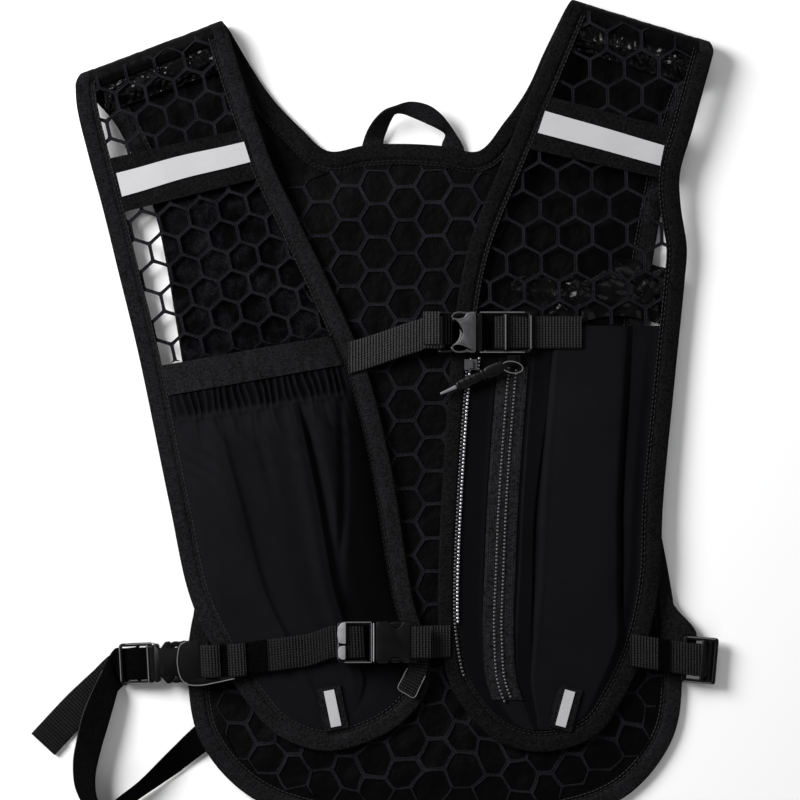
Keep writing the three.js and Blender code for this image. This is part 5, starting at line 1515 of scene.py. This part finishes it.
class VEST_OT_buckles(bpy.types.Operator):
    """Makes the three side-release buckles and the slider on the right side strap"""

    bl_idname = "vest.buckles"
    bl_label = "Buckles"

    def execute(self, context):
        # The chest socket's light grey is painted reflection.
        for name, look in (("chest", "painted_sheen_plastic"), ("waist", "plastic"), ("side", "matte_plastic")):
            self.put(name, "socket", self.open_socket() if name == "chest" else self.flat_socket(name), look)
            self.put(name, "bar", self.bar(), "plastic")
            self.put(name, "plug", self.plug(name), "plastic")
            # Painted highlights: thin light lines along the ladders' edges.
            self.put(name, "edges", self.edges(name), "painted_highlight_plastic")
        # The waist buckle's pale lobes are painted highlights.
        self.put("waist", "lobes", self.lobes(), "bright_painted_highlight_plastic")
        self.slider()
        return {"FINISHED"}

    def slider(self):
        """The ladder on the right side strap: a frame, its bars, a plate that closes its end, and light lines along
        its edges as painted highlights.
        """
        outline = soft_outline([(-16, -14.5), (5.7, -14.5), (5.7, 14.5), (-16, 14.5)], 0.6, 8)
        bars = [crossbar(x, z, 12.8, 2.4, 2.4) for x, z in ((-13.5, -1.6), (-3.4, 3.2), (1, 0.8))]
        plate = slab(soft_outline([(-4, -12.6), (4, -12.6), (4, 12.6), (-4, 12.6)], 0.6, 3), -1.2, 0.6, 0.4)
        shape = joined(hoop(outline, 2.4, -1.5, 2.2, 0.7), plate, *bars)
        piece("side_slider_frame", moved(shape, lambda v: turned(v, *SLIDER)), "plastic",
              ["side_slider_right"])
        rail = ((-14, 13.8), (-5, 13.9), (3.6, 13.7))
        lines = joined(*[rod([(x, k * y, 2.2, 0.6, 0.5) for x, y in rail]) for k in (-1, 1)])
        piece("side_slider_highlights", moved(lines, lambda v: turned(v, *SLIDER)), "painted_highlight_plastic")

    def put(self, name, part, shapes, look):
        """Joins the shapes of one moulding and brings it to its buckle's place."""
        nodes = [f"{name}_buckle_{part}"] if part in ("socket", "plug") else []
        shape = moved(joined(*shapes), lambda v: buckle_place(name, v))
        piece(f"{name}_{part}_moulding", shape, look, nodes, sharp=40)

    def bar(self):
        """The bar that the webbing goes round, and the two cheeks that carry it."""
        cheeks = [rod([(0.9, y, 3.75, 1.8, 3.4), (5, y, 3.75, 1.8, 4), (10, y * 0.97, 3.75, 2, 5)]) for y in (-12, 12)]
        return [crossbar(1.1, 3.75, 12.4, 2.2, 2.6), *cheeks]

    def open_socket(self):
        """The chest socket: a plate with a hollow mouth, ears, and an eye under an arch at each side."""
        half = [
            (14, -0.4), (13.8, -2.4), (13, -4.6), (11.4, -6.6), (8.8, -8.2), (9.6, -9.2), (13, -8.4), (16.4, -9.2),
            (18.6, -12.4), (22, -12.9), (24, -12.6), (24, -6), (24, -0.5),
        ]
        outline = soft_outline(mirrored(half), 0.45, 4)
        panel = soft_outline(mirrored([
            (16, -0.4), (15.4, -3.4), (13.6, -6.4), (17.2, -7.6), (20, -10.4), (22.4, -10.6), (22.6, -5), (22.6, -0.5),
        ]), 0.45, 6)
        arches = [
            rod([(8.8, 9 * k, 4, 1.5, 3.6), (10.4, 11.4 * k, 4, 1.4, 3.8), (13.4, 12.3 * k, 4, 1.3, 4),
                 (16.8, 12 * k, 4, 1.4, 4), (19.4, 11.6 * k, 4, 1.8, 4)]) for k in (-1, 1)
        ]
        return [slab(outline, 0.5, 6.9, 0.9), slab(panel, 6.5, 7.3, 0.35), *arches]

    def flat_socket(self, name):
        """A flat socket with a lens-shaped notch at each side, where the tip of the plug's prong shows.

        The side one also has a raised panel and a nose plate on it.
        """
        length = BUCKLES[name][0]
        a, b = 0.34 * length, 0.7 * length
        notch = [(lerp(a, b, t), -13 + 4.2 * math.sin(math.pi * t) ** 0.8) for t in np.linspace(0, 1, 9)]
        end = 1.2 if name == "waist" else 4.0
        half = [(4.4, -0.4), (4.4, -13), *notch, (length - end, -13), (length, -13 + 1.3 * end), (length, -0.4)]
        outline = soft_outline(mirrored(half), 0.45, 3)
        middle = (a + b) / 2
        prongs = [slab(lens(middle, 11.2 * k, 0.46 * (b - a), 1.7), 1.2, 6.4, 0.7) for k in (-1, 1)]
        tops = []
        if name == "side":
            panel = mirrored([(6.4, -0.4), (6.4, -8), (length - 2, -8), (length - 2, -0.4)])
            plate = [(-26, 10.4), (-5.3, 10.4), (-5.3, -12.6), *SIDE_NOSE]
            tops = [slab(soft_outline(panel, 0.5, 6), 6.7, 7.2, 0.3), slab(soft_outline(plate, 0.5, 2), 6, 7.3, 0.3)]
        return [slab(outline, 0.4, 7.0, 0.8), *tops, *prongs]

    def plug(self, name):
        """The plug's base, and its ladder: one bar bent round three sides, with a bar across the middle."""
        base, middle, end = ladder_places(name).values()
        block = [(base - 3, -0.4), (base - 3, -9), (base, -9), (base, -11), (base + 1, -12), (base + 3.4, -12),
                 (base + 3.4, -0.4)]
        half = [(base + 4.5, 11.9, 3.1, 2.2, 4.4), (end - 5, 11.9, 3.1, 2.2, 4.4), (end - 1.5, 11.6, 4, 2.2, 3),
                (end - 1.2, 9, 4.5, 2.3, 2.6)]
        rails = [(x, -y, *rest) for x, y, *rest in half] + [(end - 1.2, 0, 4.5, 2.3, 2.6)] + half[::-1]
        bars = [rod(rails), crossbar(middle, 6.2 if name == "chest" else 1.7, 11.5, 2.2, 2.4)]
        if name == "side":
            bars.append(crossbar(base + 5.4, 3.2, 11.2, 6.6, 4.2))
        return [slab(soft_outline(mirrored(block), 0.5, 2), 0.9, 5.4, 0.7), *bars]

    def edges(self, name):
        """Thin light lines along the tops of a ladder's rails and bars, and round the side socket's nose, as painted
        highlights.
        """
        base, middle, end = ladder_places(name).values()
        x, z, half = {
            "chest": (middle + 0.3, 7.4, 11), "waist": (base + 2.2, 6.4, 12), "side": (base + 7, 6.4, 12),
        }[name]
        lines = [[(base + 2, y, 5.3), (lerp(base, end, 0.5), y, 5.35), (end - 4.6, y, 5.3)] for y in (-12.4, 12.4)]
        lines += [[(end - 0.8, y, 5.8) for y in (-10.4, 0, 10.4)], [(x, y, z) for y in (-half, 0, half)]]
        if name == "side":
            lines.append([(x, y, 7.4) for x, y in SIDE_NOSE])
        return [rod([(*point, *HIGHLIGHT_LINE) for point in line]) for line in lines]

    def lobes(self):
        """The two pale rounded lobes on the end of the waist buckle's ladder, and its pale inner bar: painted
        highlights.
        """
        base, _, end = ladder_places("waist").values()
        large = [(-5.4, -12.6), (-2.4, -12.2), (-0.3, -9), (-0.1, -4), (-1.2, 0.4), (-5.4, 1)]
        small = [(-5.2, 2), (-1.6, 2.3), (-0.5, 5), (-0.9, 9), (-2.6, 10.6), (-5.2, 10.6)]
        plates = [soft_outline([(end + x, y) for x, y in corners], 0.4, 3) for corners in (large, small)]
        return [*[slab(plate, 5.7, 7.2, 0.5) for plate in plates], crossbar(base + 0.9, 6.6, 12, 0.8, 0.7)]


def zip_line(across, start, end, step):
    """Points along the right pocket at one share across it, on the pocket's top."""
    y = lerp(53.6, -199.0, np.linspace(start, end, 120))
    low, high = front_sides("right", 10.7)
    line = even(np.column_stack([lerp(low(y), high(y), across), y]), step)
    return np.column_stack([line, pouch_top("right", *line.T)])


BEAD = [(1, 0), (1, 0.5), (0.75, 0.85), (0.35, 1)]  # width and height of a zip tooth's four rings


def teeth(line, offset, size, pitch, shift):
    """One row of zip teeth: a small rounded bead at each pitch, beside the line and standing on it."""
    gone = lengths(line)
    at = np.arange(pitch * (0.5 + shift), gone[-1], pitch)
    way = unit(picked(ways(line), gone, at))
    side = unit(np.cross(UP, way))
    corner = np.array([(-1, -1), (1, -1), (1, 1), (-1, 1)]) / 2
    base = np.vstack([np.column_stack([corner * r * size[:2], np.full(4, z * size[2])]) for r, z in BEAD])
    origins = picked(line, gone, at) + side * offset
    return copies(base, stack_faces(len(BEAD)), origins, way, side, np.cross(way, side))


class VEST_OT_zips(bpy.types.Operator):
    """Makes both zips on the right pocket: tape, teeth and stitching, and the cord pull; finishes their sliders"""

    bl_idname = "vest.zips"
    bl_label = "Zips"

    def execute(self, context):
        pitch = context.scene.vest_sizes.tooth / MM
        inner = zip_line(0.004, 0.078, 0.86, 1.0) + (0, 0, 0.5)
        parted = zip_line(0.03, 0.074, 0.112, 1.0) + (0, 0, 0.5)
        closed = zip_line(0.004, 0.078, 0.735, 1.0) + (0, 0, 0.5)
        # Painted highlight and shade: the rows of one zip differ, bright metal for the side that catches the light and
        # dark coil for the other.
        rows = [teeth(closed, 1.0, (1.5, 1.6, 1.5), pitch, 0), teeth(parted, 3.0, (1.6, 1.6, 1.5), pitch, 0)]
        piece("inner_zip_lit_beads", joined(*rows), "teeth", ["inner_zip_teeth"])
        piece("inner_zip_shaded_beads", teeth(inner, -0.9, (1.3, 1.5, 1.1), pitch, 0.5), "coil")
        outer = zip_line(0.235, 0.1, 0.92, 1.5)
        across = np.linspace(-9.5, 9.5, 13)
        x, y = outer[:, :1] + across, np.repeat(outer[:, 1:2], 13, 1)
        grid = np.stack([x, y, pouch_top("right", x, y) + 0.5], -1)
        piece("outer_zip_cloth", shell(grid, 0.8, UP), "gritty", ["outer_zip_tape"])
        coil = outer + (0, 0, 0.85)
        rows = [teeth(coil, 2.3 * k, (1.4, 1.5, 1.2), pitch, 0.25 + 0.25 * k) for k in (-1, 1)]
        spine = rod([(*place, 4.2, 0.9) for place in coil[::6]])
        piece("outer_zip_beads", joined(*rows), "coil", ["outer_zip_teeth"])
        piece("outer_zip_spine", spine, "gritty")
        up = np.tile(UP, (len(outer), 1))
        for name, column in (("left", 1), ("right", 11)):
            row = grid[:, column] + (0, 0, 0.45)
            piece(f"outer_zip_{name}_stitching", stitches(row, up, 2.2), "thread")
        self.pull()
        for name, look in (("inner_zip_slider", "coil"), ("outer_zip_slider", "plastic")):
            obj = bpy.data.objects[name]
            obj.data.materials.clear()
            obj.data.materials.append(finish(look))
        return {"FINISHED"}

    def pull(self):
        """The pull: a thin stem, a ribbed grip, a collar, a wide soft loop and a wire ring, on one line."""
        a, b = np.array((2, 11.3, 16.8)), np.array((46, 31, 21.5))

        def at(t, width, thick):  # a rod's row at a share along the pull
            return (*lerp(a, b, t), width, thick)

        side = unit(np.array([-(b - a)[1], (b - a)[0], 0]))
        ribs = [
            rod([(*(lerp(a, b, t) + side * k + (0, 0, 1.5)), 1.1, 1.0) for k in (-2.6, 0, 2.6)])
            for t in (0.27, 0.35, 0.43, 0.51)
        ]
        ring_at = np.array((46.6, 27.8, 21.3))
        t = np.linspace(0, 2 * np.pi, 40, endpoint=False)
        spread = np.outer(np.cos(t) * 6.8, (0.98, -0.17)) + np.outer(np.sin(t) * 3.9, (0.17, 0.98))
        # Painted highlights: the stem and the ring take the light plastic of the highlight lines.
        light = [
            rod([at(0, 1.6, 1.4), at(0.12, 2, 1.8), at(0.24, 2.8, 2.4)]),
            hoop(ring_at[:2] + spread, 0.6, ring_at[2] - 0.4, ring_at[2] + 0.5, 0.2),
        ]
        dark = [
            *ribs,
            rod([at(0.57, 7.4, 3.8), at(0.6, 7.6, 4), at(0.635, 7.2, 3.8)]),
            rod([at(0.22, 4.4, 2.6), at(0.3, 5.8, 3), at(0.45, 6, 3.2), at(0.58, 5.6, 3.2)]),
            rod([at(0.62, 5.6, 2.6), at(0.7, 7.6, 2.4), at(0.82, 7.4, 2.2), at(0.9, 5.4, 2)]),
        ]
        piece("zip_pull_fittings", joined(*light), "painted_highlight_plastic", sharp=40)
        piece("zip_pull_grip", joined(*dark), "plastic", ["zip_pull"], sharp=40)


FLOOR_HALF, FLOOR_Z = 3.0, -0.0004
CAMERA_HIGH, CAMERA_OVER = 2.4, (-23.1 * MM, 7.5 * MM)
PICTURE_WIDE, SENSOR_WIDE = 0.5, 36  # what the picture spans on the floor, in metres, and the sensor, in mm
# Each light's name, place, size in metres and power in watts; all aim at the middle of the vest.
SOFTBOXES = (
    ("key_softbox", (-1.4, 0.75, 1.1), 1.1, 67),
    ("right_softbox", (1.4, 0.2, 1.1), 1.2, 4),
    ("near_softbox", (0.1, -1.5, 1.1), 1.2, 4.5),
    ("far_softbox", (0.2, 1.5, 1.1), 1.2, 6),
)


class VEST_OT_stage(bpy.types.Operator):
    """Makes the floor, the soft light from the upper left and the camera straight above"""

    bl_idname = "vest.stage"
    bl_label = "Stage"

    def execute(self, context):
        scene = context.scene
        mesh = bpy.data.meshes.new("floor")
        corners = [(x * FLOOR_HALF, y * FLOOR_HALF, FLOOR_Z) for x, y in ((-1, -1), (1, -1), (1, 1), (-1, 1))]
        mesh.from_pydata(corners, [], [(0, 1, 2, 3)])
        floor = bpy.data.objects.new("floor", mesh)
        scene.collection.objects.link(floor)
        white = Finish("floor_white", Base_Color=(0.9, 0.9, 0.9, 1), Roughness=0.9, Specular_IOR_Level=0.0)
        mesh.materials.append(white.material)
        world = bpy.data.worlds.new("studio")
        world.use_nodes = True
        sky = world.node_tree.nodes["Background"].inputs
        sky["Color"].default_value = (1, 1, 1, 1)
        sky["Strength"].default_value = 0.1
        scene.world = world
        for name, place, size, power in SOFTBOXES:
            lamp = bpy.data.lights.new(name, "AREA")
            lamp.shape = "DISK"
            lamp.size = size
            lamp.energy = power
            box = bpy.data.objects.new(name, lamp)
            box.location = place
            box.rotation_euler = (-Vector(place)).to_track_quat("-Z", "Y").to_euler()
            scene.collection.objects.link(box)
        camera = bpy.data.cameras.new("camera")
        camera.sensor_width = SENSOR_WIDE
        camera.lens = SENSOR_WIDE * CAMERA_HIGH / PICTURE_WIDE
        eye = bpy.data.objects.new("camera", camera)
        eye.location = (*CAMERA_OVER, CAMERA_HIGH)
        scene.collection.objects.link(eye)
        scene.camera = eye
        scene.view_settings.view_transform = "Standard"
        scene.view_settings.look = "None"
        return {"FINISHED"}


class VEST_PT_panel(bpy.types.Panel):
    """Lists the vest's sizes, colours and pieces"""

    bl_idname = "VEST_PT_panel"
    bl_label = "Running vest"
    bl_space_type = "VIEW_3D"
    bl_region_type = "UI"
    bl_category = "Vest"

    def draw(self, context):
        for group in (context.scene.vest_sizes, context.scene.vest_colours):
            for name in group.bl_rna.properties.keys():
                if name not in ("rna_type", "name"):
                    self.layout.prop(group, name)
        for operator in OPERATORS:
            self.layout.operator(operator.bl_idname)


OPERATORS = (
    VEST_OT_stage, VEST_OT_back, VEST_OT_yokes, VEST_OT_nets, VEST_OT_bindings, VEST_OT_pouches, VEST_OT_trim,
    VEST_OT_straps, VEST_OT_buckles, VEST_OT_zips,
)
CLASSES = (VestSizes, VestColours, *OPERATORS, VEST_PT_panel)


def register():
    """Makes the classes known to Blender, and the scene's sizes and colours."""
    for cls in CLASSES:
        bpy.utils.register_class(cls)
    bpy.types.Scene.vest_sizes = bpy.props.PointerProperty(type=VestSizes)
    bpy.types.Scene.vest_colours = bpy.props.PointerProperty(type=VestColours)


def unregister():
    del bpy.types.Scene.vest_colours
    del bpy.types.Scene.vest_sizes
    for cls in reversed(CLASSES):
        bpy.utils.unregister_class(cls)


def main():
    """Builds the stage and the vest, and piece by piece."""
    register()
    bpy.ops.vest.stage()
    bpy.ops.vest.back()
    bpy.ops.vest.yokes()
    bpy.ops.vest.nets()
    bpy.ops.vest.bindings()
    bpy.ops.vest.pouches()
    bpy.ops.vest.trim()
    bpy.ops.vest.straps()
    bpy.ops.vest.buckles()
    bpy.ops.vest.zips()


if __name__ == "__main__":
    main()
